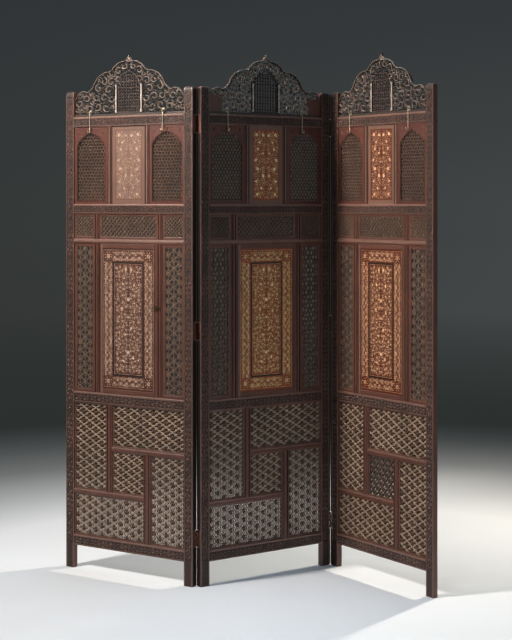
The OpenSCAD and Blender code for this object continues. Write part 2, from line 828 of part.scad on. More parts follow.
leaf_place(MIDDLE) stile(false, "back");  // middle_stile_l
leaf_place(MIDDLE) stile(true, "front");  // middle_stile_r
leaf_place(MIDDLE) rails();  // middle_rails
leaf_place(MIDDLE) bars();  // middle_bars
leaf_place(MIDDLE) crest();  // middle_crest
leaf_place(MIDDLE) crest_arch();  // middle_crest_arch
leaf_place(MIDDLE) arch_boards();  // middle_arch_boards
leaf_place(MIDDLE) upper_grilles();  // middle_upper_grilles
leaf_place(MIDDLE) top_panel();  // middle_top_panel
leaf_place(MIDDLE) lower_grilles();  // middle_lower_grilles
leaf_place(MIDDLE) door_frame();  // middle_door_frame
leaf_place(MIDDLE) door_panel();  // middle_door_panel
leaf_place(MIDDLE) door_pivots();  // middle_door_pivots
leaf_place(MIDDLE) hook_staples();  // middle_hook_staples
leaf_place(MIDDLE) at_hook(hook_left_u) hook();  // middle_hook_l
leaf_place(MIDDLE) at_hook(hook_right_u) hook();  // middle_hook_r

leaf_place(RIGHT) stile(false, "front");  // right_stile_l
leaf_place(RIGHT) stile(true, "");  // right_stile_r
leaf_place(RIGHT) rails();  // right_rails
leaf_place(RIGHT) bars();  // right_bars
leaf_place(RIGHT) crest();  // right_crest
leaf_place(RIGHT) crest_arch();  // right_crest_arch
leaf_place(RIGHT) arch_boards();  // right_arch_boards
leaf_place(RIGHT) upper_grilles();  // right_upper_grilles
leaf_place(RIGHT) top_panel();  // right_top_panel
leaf_place(RIGHT) lower_grilles();  // right_lower_grilles
leaf_place(RIGHT) door_frame();  // right_door_frame
leaf_place(RIGHT) door_panel();  // right_door_panel
leaf_place(RIGHT) door_pivots();  // right_door_pivots
leaf_place(RIGHT) hook_staples();  // right_hook_staples
leaf_place(RIGHT) at_hook(hook_left_u) hook();  // right_hook_l
leaf_place(RIGHT) at_hook(hook_right_u) hook();  // right_hook_r

leaf_place(MIDDLE) hinge_places(false, true) hinge_fixed();  // back_hinge_fixed
leaf_place(LEFT) hinge_places(true, true) hinge_moving();  // back_hinge_moving
leaf_place(MIDDLE) hinge_places(false, true) steel_screws();  // back_screws_fixed
leaf_place(LEFT) hinge_places(true, true) steel_screws();  // back_screws_moving
leaf_place(MIDDLE) hinge_places(true, false) hinge_fixed();  // front_hinge_fixed
leaf_place(RIGHT) hinge_places(false, false) hinge_moving();  // front_hinge_moving
leaf_place(MIDDLE) hinge_places(true, false) steel_screws();  // front_screws_fixed
leaf_place(RIGHT) hinge_places(false, false) steel_screws();  // front_screws_moving
leaf_place(LEFT) catch_plate();
leaf_place(LEFT) catch_strap();
leaf_place(LEFT) catch_staple();
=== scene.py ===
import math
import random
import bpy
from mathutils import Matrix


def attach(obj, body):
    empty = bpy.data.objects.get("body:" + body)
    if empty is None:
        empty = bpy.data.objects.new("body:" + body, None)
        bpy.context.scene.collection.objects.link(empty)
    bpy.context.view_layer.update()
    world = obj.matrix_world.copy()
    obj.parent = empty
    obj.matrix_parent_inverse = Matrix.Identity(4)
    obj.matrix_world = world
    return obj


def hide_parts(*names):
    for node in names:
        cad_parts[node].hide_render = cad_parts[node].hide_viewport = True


bl_info = {
    "name": "Mashrabiya Folding Screen",
    "version": (1, 0, 0),
    "blender": (4, 5, 0),
    "location": "3D View > Sidebar > Screen",
    "description": "Dresses a folding screen: leaves, crests, bead lattices, inlay and brass",
    "category": "Object",
}

import bpy
import numpy as np
from mathutils import Vector

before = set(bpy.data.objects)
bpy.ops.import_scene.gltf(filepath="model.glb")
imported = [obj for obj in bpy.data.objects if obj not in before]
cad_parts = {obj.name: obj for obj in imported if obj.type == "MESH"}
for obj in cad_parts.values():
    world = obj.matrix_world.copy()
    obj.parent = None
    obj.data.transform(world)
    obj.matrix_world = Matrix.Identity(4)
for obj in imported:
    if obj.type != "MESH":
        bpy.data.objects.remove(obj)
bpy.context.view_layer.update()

# ---------------------------------------------------------------------------------------
# The joiner's sizes, in millimetres, as the solids have them. A leaf is drawn in its own
# frame: u along it from its left end, v into it from its front face, z up from the floor.
# ---------------------------------------------------------------------------------------

LEAF_W, LEAF_T, STILE_W = 578.0, 22.0, 38.0
IN0, IN1, MID_U = STILE_W, LEAF_W - STILE_W, LEAF_W / 2
TURNS = {"left": -32.5, "middle": 35.0, "right": -55.5}  # of each leaf, in degrees
PIN_OUT, PIN_BACK, PIN_FRONT = 1.5, 24.6, -2.6  # the hinge pins: beyond a leaf's end, and in v
BOTTOM_RAIL, LOWER_TIER, LOCK_RAIL = (86, 127), (127, 621), (621, 662)
DOOR_TIER, THIN_RAIL, FRIEZE = (662, 1214), (1214, 1231), (1231, 1324)
WAIST_RAIL, UPPER_TIER, TOP_RAIL = (1324, 1360), (1360, 1646), (1646, 1684)
CREST_Z, POST_Z, CREST_H = 1684.0, 1780.0, 222.0
UPPER_BARS = ((193.0, 214.0), (364.0, 385.0))
MIDDLE_BARS = ((134.0, 156.0), (422.0, 444.0))
V1, V2 = (190.0, 216.0), (362.0, 388.0)  # the upright bars of the lower tier's pinwheel
H2, H1 = (281.0, 298.0), (450.0, 467.0)  # and its level bars
DOOR = (156.8, 421.2, 662.8, 1213.2)
DOOR_PANEL = (172.8, 405.2, 678.8, 1197.2)
TOP_PANEL = (214.0, 364.0, 1360.0, 1646.0)
ARCHES = ((IN0, 193.0), (385.0, IN1))
# The frieze's three panes and the tall ones at both sides of the door
SQUARES = (
    (IN0, 134.0, 1231.0, 1324.0), (156.0, 422.0, 1231.0, 1324.0), (444.0, IN1, 1231.0, 1324.0),
    (IN0, 134.0, 662.0, 1214.0), (444.0, IN1, 662.0, 1214.0),
)
# The pinwheel's five panes, the middle one third
DIAMONDS = (
    (IN0, 190.0, 298.0, 621.0), (216.0, IN1, 467.0, 621.0), (216.0, 362.0, 298.0, 450.0),
    (388.0, IN1, 127.0, 450.0), (IN0, 362.0, 127.0, 281.0),
)
# The crest's outline from its apex, as (distance from the middle, share of its height), and
# how far the arc after each of these points swells
CREST_KNOTS = ((0, 1), (19, 0.9), (76, 0.766), (90, 0.738), (164, 0.505), (192, 0.41),
               (240, 0.355), (251, 0.29))
CREST_SWELLS = (-3, 8, -1, 15, -3, 10, -1)
CREST_ARCH = (104.0, 14.0, 102.0, 45.0)  # width, sill, straight part and pointed part
HOOKS = {"l": 115.0, "r": 448.0}
HOOK_PIN = (-3.0, 1698.0)  # depth and height of the pin that a hook swings on

# Sizes that only the dressed pieces have
STILE_CARVED = (92.0, 1759.0)  # from the plain foot to the plain head
STILE_BAND = 13.0  # half of the sunk band of a stile
RAIL_BEAD = 9.7  # height of the rounded bead along the top of a rail
MOTIF_W = 26.0  # width across a carved motif at full size
LIP_RUNS = ((4.0, 138.0), (202.0, 874.0), (942.0, 1612.0), (1680.0, 1772.0))
LIP_IN, LIP_OUT, LIP_PROUD = 2.2, 1.3, 2.4
BEAD_STEP = 12.4  # the spacing for which a bead has its full size
GRILLE_V, FINE_V, WOVEN_V = 11.0, 13.0, 10.6  # depths of the beads' middles
SQUARE_BORDERS = (10.0, 9.0, 10.0, 12.0, 12.0)
DIAMOND_BORDER = 5.0
COARSE_PITCH = 34.0  # the grille in the middle of the right leaf's lower tier
ARCH = (128.0, 203.0, 47.0)  # width, straight part and pointed part
ARCH_SILL, ARCH_SWELL, ARCH_CUSP = 12.0, 10.0, 5.0
PANEL_BORDER, PANEL_V = 15.0, 7.0
DOOR_V, DOOR_BAND, DOOR_CORNER, DOOR_MEMBER = 5.0, 38.0, 21.0, 16.0
DOOR_FIELD = (228.0, 350.0, 738.0, 1139.0)
CREST_HALF, CREST_BLOCK, CREST_BLOCK_TOP = 251.0, 191.0, 68.0
CREST_FRONT, CREST_BACK = 6.4, 15.0
COLONETTE = 5.5  # from the side of the grille's opening to a colonette's middle

# The camera, from the middle leaf's corner on the floor, and in the photograph the rows of
# pixels and the row on which the horizon lies
CAMERA = (196.0, -5323.0, 1374.0)
PICTURE_ROWS, HORIZON_ROW = 640.0, 200.2


def turned(degrees, p):
    """A point turned about the upright axis."""
    c, s = math.cos(math.radians(degrees)), math.sin(math.radians(degrees))
    return (p[0] * c - p[1] * s, p[0] * s + p[1] * c)


def leaves():
    """Where each leaf stands: its left end's corner and its turn, from the pins it shares."""
    near, far = -PIN_OUT, LEAF_W + PIN_OUT
    # The left fold's pins stand behind the leaves and the right fold's in front of them
    a = turned(TURNS["middle"], (near, PIN_BACK))
    b = turned(TURNS["left"], (far, PIN_BACK))
    c = turned(TURNS["middle"], (far, PIN_FRONT))
    d = turned(TURNS["right"], (near, PIN_FRONT))
    at = {"left": (a[0] - b[0], a[1] - b[1]), "middle": (0.0, 0.0),
          "right": (c[0] - d[0], c[1] - d[1])}
    corners = []
    for k, (x, y) in at.items():
        for u in (0, LEAF_W):
            for v in (0, LEAF_T):
                q = turned(TURNS[k], (u, v))
                corners.append((x + q[0], y + q[1]))
    # The screen's middle is the origin
    mid = [(min(p) + max(p)) / 2 for p in zip(*corners)]
    return {k: ((x - mid[0], y - mid[1]), TURNS[k]) for k, (x, y) in at.items()}


LEAVES = leaves()


# ---------------------------------------------------------------------------------------
# Sizes and colours that a user would change
# ---------------------------------------------------------------------------------------

def length(name, description, default):
    """A size as a property, in metres."""
    return bpy.props.FloatProperty(name=name, description=description, default=default,
                                   min=0.0, unit="LENGTH", precision=4)


def colour(name, description, default):
    """A finish's colour as a property, in sRGB hex."""
    return bpy.props.StringProperty(name=name, description=description, default=default)


class ScreenSizes(bpy.types.PropertyGroup):
    carving_depth: length("Carving depth", "Depth of the carved ground below the face", 0.0024)
    vine_pitch: length("Vine pitch", "Length of one turn of the carved running vine", 0.036)
    fine_side: length("Fine hexagon side", "Side of a cell of the arched grilles", 0.0078)
    diagonal_pitch: length("Diagonal lattice pitch", "Width of a cell of the frieze", 0.0175)
    side_step: length("Side lattice step", "Bead spacing of the tall side grilles", 0.0110)
    star_step: length("Star lattice step", "Bead spacing of the lower grilles", 0.0162)
    bead_radius: length("Bead radius", "Radius of a turned bead", 0.0046)
    spindle_radius: length("Spindle radius", "Radius of the links between beads", 0.0026)
    inlay_rise: length("Inlay rise", "Height of the bone above the ground", 0.0004)
    crest_wood: length("Scroll width", "Width of the crest's pierced scrolls", 0.0031)
    hook_wire: length("Hook wire radius", "Radius of the brass hooks' wire", 0.0016)
    lens: bpy.props.FloatProperty(name="Lens", description="Focal length of the camera, mm",
                                  default=84.4, min=1.0)
    seed: bpy.props.IntProperty(name="Seed", description="Seed of carving, scrolls and inlay",
                                default=11)


class ScreenColours(bpy.types.PropertyGroup):
    relief: colour("Carved relief", "Waxed hardwood where the carving stands", "#573e35")
    # The carved ground's dark is wax, and painted shade in the recesses
    ground: colour("Carved ground", "Dark wax, dust and painted shade in the recesses", "#30211b")
    # Rubbed edges: wear, and painted highlights on the tops of rails, bars and posts
    edge: colour("Rubbed and lit edge", "Worn edges, and painted highlights along the tops of rails and bars", "#705348")
    plain: colour("Plain hardwood", "Planed bars and mouldings", "#5a392f")
    board: colour("Arched boards", "Redder hardwood of the arched boards", "#542d23")
    bead: colour("Turned beads", "Beads and spindles, stained and dusty", "#64503f")
    bead_mid: colour("Side beads", "Beads of the frieze and the tall side grilles", "#543e2f")
    bead_dark: colour("Fine beads", "Fine beads of the arched grilles", "#4f3524")
    strand: colour("Rubbed beads", "Beads of the slanting strands, rubbed pale, with painted highlight", "#98816d")
    knot: colour("Dark beads", "Beads turned from a darker wood", "#2f201a")
    crest: colour("Crest scrolls", "Pierced scrollwork under old wax", "#382c25")
    crest_light: colour("Rubbed and lit scrolls", "Scrollwork worn to the bare wood, and its painted highlights", "#88776c")
    pale: colour("Colonettes", "Pale turned wood of the crest's columns", "#bcaea6")
    border: colour("Panel border", "Plain tan border of the upper panels", "#6f5347")
    bone_left: colour("Bone, left", "Aged bone of the left leaf", "#d4b198")
    # The middle leaf's bone and ground are yellowed with age, and brightened as well: painted
    # reflection, for the warm sheen on its inlay while that leaf is in shade
    bone_middle: colour("Bone, middle", "Yellowed bone of the middle leaf", "#ffd894")
    bone_right: colour("Bone, right", "Aged bone of the right leaf", "#dcb08b")
    ground_left: colour("Inlay ground, left", "Tan-brown ground", "#4b2b21")
    ground_middle: colour("Inlay ground, middle", "Golden-brown ground", "#853d25")
    ground_right: colour("Inlay ground, right", "Orange-brown ground", "#542513")
    string: colour("Stringing", "Dark wood stringing", "#231815")
    brass: colour("Brass", "Polished brass of the hooks", "#d8cab0")
    bronzed: colour("Browned brass", "Old brass of the hinges", "#5c4a38")
    steel: colour("Steel", "Plain steel pins and screws", "#7d7a76")
    floor: colour("Floor", "Pale studio floor", "#e1e4e8")
    backdrop: colour("Backdrop", "Slate backdrop at the left", "#343736")
    backdrop_light: colour("Backdrop, right", "Slate backdrop at the right", "#424646")
    backdrop_low: colour("Backdrop, low", "Slate backdrop where it meets the floor", "#2c302f")
    backdrop_top: colour("Backdrop, top", "Slate backdrop overhead", "#303437")


def sizes():
    """The screen's sizes, in metres."""
    return bpy.context.scene.screen_sizes


def mm(name):
    """One of the screen's sizes, in millimetres."""
    return getattr(sizes(), name) * 1000.0


# ---------------------------------------------------------------------------------------
# Finishes
# ---------------------------------------------------------------------------------------

def linear(text):
    """An sRGB hex colour as linear RGBA."""
    text = text.lstrip("#")
    parts = [int(text[i:i + 2], 16) / 255 for i in (0, 2, 4)]
    return tuple(p / 12.92 if p <= 0.04045 else ((p + 0.055) / 1.055) ** 2.4
                 for p in parts) + (1.0,)


def shade(text, factor):
    """A colour made darker or lighter."""
    r, g, b, a = linear(text)
    return (min(r * factor, 1.0), min(g * factor, 1.0), min(b * factor, 1.0), a)


def add_node(tree, kind, values=(), **settings):
    """Adds a node, sets its properties, then fills its sockets with values or links."""
    made = tree.nodes.new(kind)
    for name, value in settings.items():
        setattr(made, name, value)
    for name, value in dict(values).items():
        socket = made.inputs[name]
        if isinstance(value, bpy.types.NodeSocket):
            tree.links.new(value, socket)
        else:
            socket.default_value = value
    return made


def surface(name):
    """An empty material with its output, its coordinates and its main shader."""
    made = bpy.data.materials.new(name)
    made.use_nodes = True
    tree = made.node_tree
    tree.nodes.clear()
    shader = add_node(tree, "ShaderNodeBsdfPrincipled")
    add_node(tree, "ShaderNodeOutputMaterial", {"Surface": shader.outputs["BSDF"]})
    where = add_node(tree, "ShaderNodeTexCoord").outputs["Object"]
    return made, tree, shader, where


def wood(name, base, spread, stretch, roughness, bump):
    """Waxed hardwood. base is its colour, spread how far its figure goes to dark and light,
    stretch the streaks per metre along x, y and z."""
    made, tree, shader, where = surface(name)
    grain = add_node(tree, "ShaderNodeMapping", {"Vector": where, "Scale": stretch})
    streaks = add_node(tree, "ShaderNodeTexNoise", {
        "Vector": grain.outputs["Vector"], "Scale": 1.0, "Detail": 5.0, "Roughness": 0.62})
    # Under the grain the colour wanders in patches some 90 mm across
    patches = add_node(tree, "ShaderNodeTexNoise", {
        "Vector": where, "Scale": 11.0, "Detail": 2.0, "Roughness": 0.5})
    both = add_node(tree, "ShaderNodeMix", {
        "Factor": 0.38, "A": streaks.outputs["Fac"], "B": patches.outputs["Fac"]},
        data_type="FLOAT")
    ramp = add_node(tree, "ShaderNodeValToRGB", {"Fac": both.outputs["Result"]})
    stops = ramp.color_ramp.elements
    stops[0].position, stops[0].color = 0.32, shade(base, 1.0 - spread)
    stops[1].position, stops[1].color = 0.70, shade(base, 1.0 + spread)
    tree.links.new(ramp.outputs["Color"], shader.inputs["Base Color"])
    gloss = add_node(tree, "ShaderNodeMapRange", {
        "Value": both.outputs["Result"], "From Min": 0.3, "From Max": 0.7,
        "To Min": roughness + 0.08, "To Max": roughness - 0.06})
    tree.links.new(gloss.outputs["Result"], shader.inputs["Roughness"])
    relief = add_node(tree, "ShaderNodeBump", {
        "Height": streaks.outputs["Fac"], "Strength": bump, "Distance": 0.0006})
    tree.links.new(relief.outputs["Normal"], shader.inputs["Normal"])
    shader.inputs["Specular IOR Level"].default_value = 0.45
    return made


def mottled(name, base, scale, detail, rough, dark, light):
    """A surface whose colour wanders in small patches, scale of them to the metre. dark and
    light are each a place on the ramp and the shade there."""
    made, tree, shader, where = surface(name)
    age = add_node(tree, "ShaderNodeTexNoise", {
        "Vector": where, "Scale": scale, "Detail": detail, "Roughness": rough})
    ramp = add_node(tree, "ShaderNodeValToRGB", {"Fac": age.outputs["Fac"]})
    for stop, (place, factor) in zip(ramp.color_ramp.elements, (dark, light)):
        stop.position, stop.color = place, shade(base, factor)
    tree.links.new(ramp.outputs["Color"], shader.inputs["Base Color"])
    return made, tree, shader, age.outputs["Fac"]


FINISH = {}


def finishes():
    """Every finish of the screen, made once and kept by name."""
    if FINISH:
        return FINISH
    c = bpy.context.scene.screen_colours
    # Streaks per metre along x, y and z. Along the grain they are some 80 or 45 mm long and 4 or
    # 3 mm wide, elsewhere some 10 mm: real pores are finer, and wouldn't show
    up, level = (260.0, 260.0, 12.0), (22.0, 22.0, 300.0)
    any_way, bead_way = (90.0, 90.0, 90.0), (120.0, 120.0, 120.0)
    # Carved hardwood under dark wax: the relief is rubbed brown, its ground is dark with wax and
    # with painted shade in the recesses
    FINISH["relief"] = wood("carved_hardwood_relief", c.relief, 0.50, any_way, 0.42, 0.35)
    FINISH["ground"] = wood("carved_hardwood_ground", c.ground, 0.30, any_way, 0.62, 0.4)
    # Edges worn back towards the bare wood, a little smoother; the same paler wood paints the
    # highlights along the tops of rails, bars, beads and post heads
    FINISH["edge"] = wood("rubbed_edge_and_highlight", c.edge, 0.22, any_way, 0.40, 0.2)
    # Planed hardwood with its grain upright or level, wax polished
    FINISH["plain_up"] = wood("planed_hardwood_upright", c.plain, 0.32, up, 0.38, 0.25)
    FINISH["plain_level"] = wood("planed_hardwood_level", c.plain, 0.32, level, 0.38, 0.25)
    # Redder boards, planed and carved low, under thinner wax
    FINISH["board"] = wood("arched_board_hardwood", c.board, 0.30, up, 0.42, 0.25)
    # Turned beads: stained hardwood, mottled by age, with a dull sheen; the strands' paler beads
    # also paint their highlights
    for key, name in (("bead", "turned_beads"), ("bead_mid", "side_beads"),
                      ("bead_dark", "fine_beads"), ("strand", "rubbed_and_lit_beads")):
        FINISH[key] = wood(name, getattr(c, key), 0.45, bead_way, 0.5, 0.2)
    FINISH["knot"] = wood("dark_turned_beads", c.knot, 0.40, bead_way, 0.45, 0.2)
    # The scrollwork is dark under old wax, and rubbed pale where it stands proud; the pale finish
    # also paints the highlights along its fronts and its rim
    FINISH["crest"] = wood("pierced_scrollwork", c.crest, 0.45, any_way, 0.46, 0.3)
    FINISH["crest_light"] = wood("rubbed_and_lit_scrollwork", c.crest_light, 0.40, any_way, 0.42, 0.3)
    # Paler hardwoods and the dark lines between them, french polished
    FINISH["pale"] = wood("pale_colonettes", c.pale, 0.25, up, 0.45, 0.2)
    FINISH["border"] = wood("panel_border_tan", c.border, 0.16, up, 0.38, 0.15)
    FINISH["string"] = wood("dark_stringing", c.string, 0.25, up, 0.4, 0.1)
    for leaf in LEAVES:
        # The inlaid boards: hardwoods of three ages, french polished. The middle leaf's board and
        # bone are also brighter, painted reflection for the warm sheen on its inlay while that leaf
        # is in shade
        FINISH["ground_" + leaf] = wood("inlay_ground_" + leaf, getattr(c, "ground_" + leaf),
                                        0.30, up, 0.36, 0.15)
        # Bone: cream, yellowed and browned in patches, with a soft polish
        for key, name, low, high in (("dull_", "dull_bone_inlay_", 0.32, 0.78),
                                     ("bone_", "bone_inlay_", 0.36, 1.10),
                                     ("bright_", "white_bone_inlay_", 1.05, 1.75)):
            if key == "dull_" and leaf != "left":
                continue
            made, _, shader, _ = mottled(name + leaf, getattr(c, "bone_" + leaf), 85.0, 3.0, 0.65,
                                         (0.40, low), (0.62, high))
            shader.inputs["Roughness"].default_value = 0.34
            FINISH[key + leaf] = made
    # Aged brass and steel: browned where they aren't touched, with a satin sheen
    for key, name, base, rough in (("brass", "polished_brass", c.brass, 0.42),
                                   ("bronzed", "browned_brass", c.bronzed, 0.45),
                                   ("steel", "plain_steel", c.steel, 0.38)):
        made, tree, shader, age = mottled(name, base, 160.0, 4.0, 0.6, (0.35, 0.45), (0.60, 1.05))
        gloss = add_node(tree, "ShaderNodeMapRange", {
            "Value": age, "From Min": 0.3, "From Max": 0.7,
            "To Min": rough + 0.2, "To Max": rough - 0.05})
        tree.links.new(gloss.outputs["Result"], shader.inputs["Roughness"])
        shader.inputs["Metallic"].default_value = 1.0
        FINISH[key] = made
    return FINISH


# ---------------------------------------------------------------------------------------
# Shapes
# ---------------------------------------------------------------------------------------

class Shape:
    """The faces of one piece, gathered in a leaf's millimetres, each with its finish."""

    def __init__(self):
        self.points, self.corners, self.counts, self.finish, self.smooth = [], [], [], [], []
        self.total = 0

    def add(self, points, faces, finish, smooth=False):
        """finish is one name for all faces or one for each face."""
        points = np.asarray(points, float).reshape(-1, 3)
        names = [finish] * len(faces) if isinstance(finish, str) else list(finish)
        self.add_arrays(points, np.array([i for f in faces for i in f], int),
                        np.array([len(f) for f in faces], int), names, smooth)

    def add_arrays(self, points, corners, counts, names, smooth=False):
        """The same from arrays: the corners of all faces, and how many each face has."""
        self.points.append(points)
        self.corners.append(corners + self.total)
        self.counts.append(counts)
        self.finish.extend([names] * len(counts) if isinstance(names, str) else names)
        self.smooth.append(np.full(len(counts), smooth, bool))
        self.total += len(points)

    def mesh(self, name, leaf=None):
        """The gathered faces as a mesh, stood in its leaf and in metres."""
        points = np.concatenate(self.points)
        if leaf is None:
            placed = points
        else:
            (x, y), angle = LEAVES[leaf]
            c, s = math.cos(math.radians(angle)), math.sin(math.radians(angle))
            placed = np.stack([x + points[:, 0] * c - points[:, 1] * s,
                               y + points[:, 0] * s + points[:, 1] * c, points[:, 2]], 1) / 1000
        corners, counts = np.concatenate(self.corners), np.concatenate(self.counts)
        made = bpy.data.meshes.new(name)
        made.vertices.add(len(placed))
        made.vertices.foreach_set("co", placed.astype(np.float32).ravel())
        made.loops.add(len(corners))
        made.loops.foreach_set("vertex_index", corners.astype(np.int32))
        made.polygons.add(len(counts))
        starts = np.concatenate([[0], np.cumsum(counts)[:-1]])
        made.polygons.foreach_set("loop_start", starts.astype(np.int32))
        made.polygons.foreach_set("use_smooth", np.concatenate(self.smooth))
        if leaf is not None:
            used = list(dict.fromkeys(self.finish))
            for key in used:
                made.materials.append(finishes()[key])
            index = {key: i for i, key in enumerate(used)}
            made.polygons.foreach_set("material_index",
                                      np.array([index[k] for k in self.finish], np.int32))
        made.update(calc_edges=True)
        made.validate()
        return made


def finished(name, shape, leaf, body, nodes):
    """Makes the piece, lets it ride on its body and stand for its solids."""
    piece = bpy.data.objects.new(name, shape.mesh(name, leaf))
    bpy.context.scene.collection.objects.link(piece)
    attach(piece, body)
    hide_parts(*nodes)


def sweep(shape, path, profile, finish, loop=False, tube=True, taper=None):
    """Sweeps a profile of (across, depth[, finish]) along a path in (u, z). Across counts to
    the left of the way, and the front of the profile is listed from right to left."""
    path = np.asarray(path, float)
    ahead = np.roll(path, -1, 0) - path
    behind = path - np.roll(path, 1, 0)
    if not loop:
        ahead[-1], behind[0] = behind[-1], ahead[0]
    ahead /= np.linalg.norm(ahead, axis=1)[:, None]
    behind /= np.linalg.norm(behind, axis=1)[:, None]
    left_a = np.stack([-ahead[:, 1], ahead[:, 0]], 1)
    left = left_a + np.stack([-behind[:, 1], behind[:, 0]], 1)
    left /= np.maximum(np.linalg.norm(left, axis=1), 1e-6)[:, None]
    left /= np.maximum((left * left_a).sum(1), 0.4)[:, None]
    rings = profile if isinstance(profile[0][0], (list, tuple)) else [profile] * len(path)
    n, m = len(path), len(rings[0])
    across = np.array([[q[0] for q in ring] for ring in rings])
    depth = np.array([[q[1] for q in ring] for ring in rings])
    if taper is not None:
        across = across * np.asarray(taper)[:, None]
    points = np.stack([path[:, None, 0] + left[:, None, 0] * across, depth,
                       path[:, None, 1] + left[:, None, 1] * across], 2).reshape(-1, 3)
    faces, names = [], []
    for i in range(n if loop else n - 1):
        k = (i + 1) % n
        for j in range(m if tube else m - 1):
            h = (j + 1) % m
            faces.append((i * m + j, k * m + j, k * m + h, i * m + h))
            names.append(rings[0][j][2] if len(rings[0][j]) > 2 else finish)
    if tube and not loop:
        faces.append(tuple(range(m)))
        faces.append(tuple(reversed(range((n - 1) * m, n * m))))
        names += [finish, finish]
    shape.add(points, faces, names)


def beam(shape, start, end, half, v0, v1, front, finish, edge="edge", chamfer=1.2, ends=0.0):
    """A bar from start to end with a moulded front. front is a list of (across, depth below
    v0, finish) from one side to the other, without the chamfers."""
    c = chamfer
    profile = [(-half, v0 + c, edge)]
    profile += [(a, v0 + d, f) for a, d, f in front]
    profile += [(half, v0 + c, finish), (half, v1 - c, finish), (half - c, v1, finish),
                (c - half, v1, finish), (-half, v1 - c, finish)]
    if len(front) > 1:
        profile[len(front)] = (front[-1][0], v0 + front[-1][1], edge)
    if ends <= 0:
        sweep(shape, [start, end], profile, finish)
        return
    start, end = np.array(start, float), np.array(end, float)
    way = (end - start) / np.linalg.norm(end - start)
    mid = (v0 + v1) / 2
    small = [(a - math.copysign(min(ends, abs(a)), a), d + (ends if d < mid else -ends), f)
             for a, d, f in profile]
    sweep(shape, [start, start + way * ends, end - way * ends, end],
          [small, profile, profile, small], finish)


def flat(half, finish, c=1.2):
    """The front of a plain beam."""
    return [(c - half, 0.0, finish), (half - c, 0.0, finish)]


def arc(a, b, swell, n=5):
    """Points of an arc from a to b that swells to the left of that way."""
    a, b = np.array(a, float), np.array(b, float)
    c = np.linalg.norm(b - a)
    d = (b - a) / c
    if abs(swell) < 0.01:
        return [tuple(a), tuple(b)]
    r = (c * c / 4 + swell * swell) / (2 * swell)
    h = 2 * math.atan(2 * swell / c)
    left = np.array([-d[1], d[0]])
    out = []
    for i in range(n + 1):
        f = h * (2 * i / n - 1)
        out.append(tuple(a + d * (c / 2 + r * math.sin(f))
                         + left * (r * math.cos(f) - (r - swell))))
    return out


def pointed(width, straight, rise, swell, n=8):
    """A pointed opening about u = 0 from its sill up, counter-clockwise from its right foot."""
    side = arc((0, straight + rise), (width / 2, straight), swell, n)
    right = [(width / 2, 0.0)] + side[::-1]
    return right + [(-u, z) for u, z in side[1:]] + [(-width / 2, 0.0)]


def rectangle(b, inset=0.0):
    """The corners of (left, right, bottom, top), counter-clockwise as seen from the front."""
    left, right, bottom, top = shrunk(b, inset)
    return [(left, bottom), (right, bottom), (right, top), (left, top)]


def shrunk(b, inset):
    """(left, right, bottom, top) drawn in on all four sides."""
    return (b[0] + inset, b[1] - inset, b[2] + inset, b[3] - inset)


def petal(shape, at, angle, size, wide, low, high, finish, back=None):
    """A pointed leaf ridged along its middle. low and high are the depths of its rim and its
    ridge; with back it is closed by a second face whose ridge has that depth."""
    c, s = math.cos(angle), math.sin(angle)
    rim = [(0, 0), (0.3, -0.46), (0.68, -0.4), (1, 0), (0.68, 0.4), (0.3, 0.46)]
    ridge = [(0.3, 0), (0.7, 0)]

    def put(x, y, depth):
        x, y = x * size, y * wide
        return (at[0] + x * c - y * s, depth, at[1] + x * s + y * c)

    points = [put(x, y, low) for x, y in rim] + [put(x, y, high) for x, y in ridge]
    faces = [(0, 1, 6), (1, 2, 7, 6), (2, 3, 7), (3, 4, 7), (4, 5, 6, 7), (5, 0, 6)]
    if back is not None:
        points += [put(x, y, back) for x, y in ridge]
        faces += [(1, 0, 8), (2, 1, 8, 9), (3, 2, 9), (4, 3, 9), (5, 4, 9, 8), (0, 5, 8)]
    shape.add(points, faces, finish)


def button(shape, at, radius, low, high, finish, sides=6):
    """A low dome."""
    ring = [(at[0] + radius * math.cos(2 * math.pi * i / sides), low,
             at[1] + radius * math.sin(2 * math.pi * i / sides)) for i in range(sides)]
    inner = [(at[0] + 0.6 * (x - at[0]), low + 0.75 * (high - low), at[1] + 0.6 * (z - at[1]))
             for x, _, z in ring]
    points = ring + inner + [(at[0], high, at[1])]
    faces = [(i, (i + 1) % sides, sides + (i + 1) % sides, sides + i) for i in range(sides)]
    faces += [(sides + i, sides + (i + 1) % sides, 2 * sides) for i in range(sides)]
    shape.add(points, faces, finish, True)


def spiral(at, radius, start, turns, inner, hand, n=20):
    """A volute's path from its outer end to its eye."""
    out = []
    for i in range(n + 1):
        t = i / n
        a = start + hand * turns * 2 * math.pi * t
        r = radius * (1 - (1 - inner) * t ** 0.8)
        out.append((at[0] + r * math.cos(a), at[1] + r * math.sin(a)))
    return out


def ribbon(shape, path, width, low, high, finish, taper=None, back=None, loop=False):
    """A carved stem: bevelled at the front, and closed behind where back gives its depth."""
    w = width / 2
    profile = [(-w, low), (-0.4 * w, high), (0.4 * w, high), (w, low)]
    if back is not None:
        profile = [(-w, low), (-0.5 * w, high), (0.5 * w, high), (w, low), (0.6 * w, back),
                   (-0.6 * w, back)]
    sweep(shape, path, profile, finish, loop=loop, tube=back is not None, taper=taper)


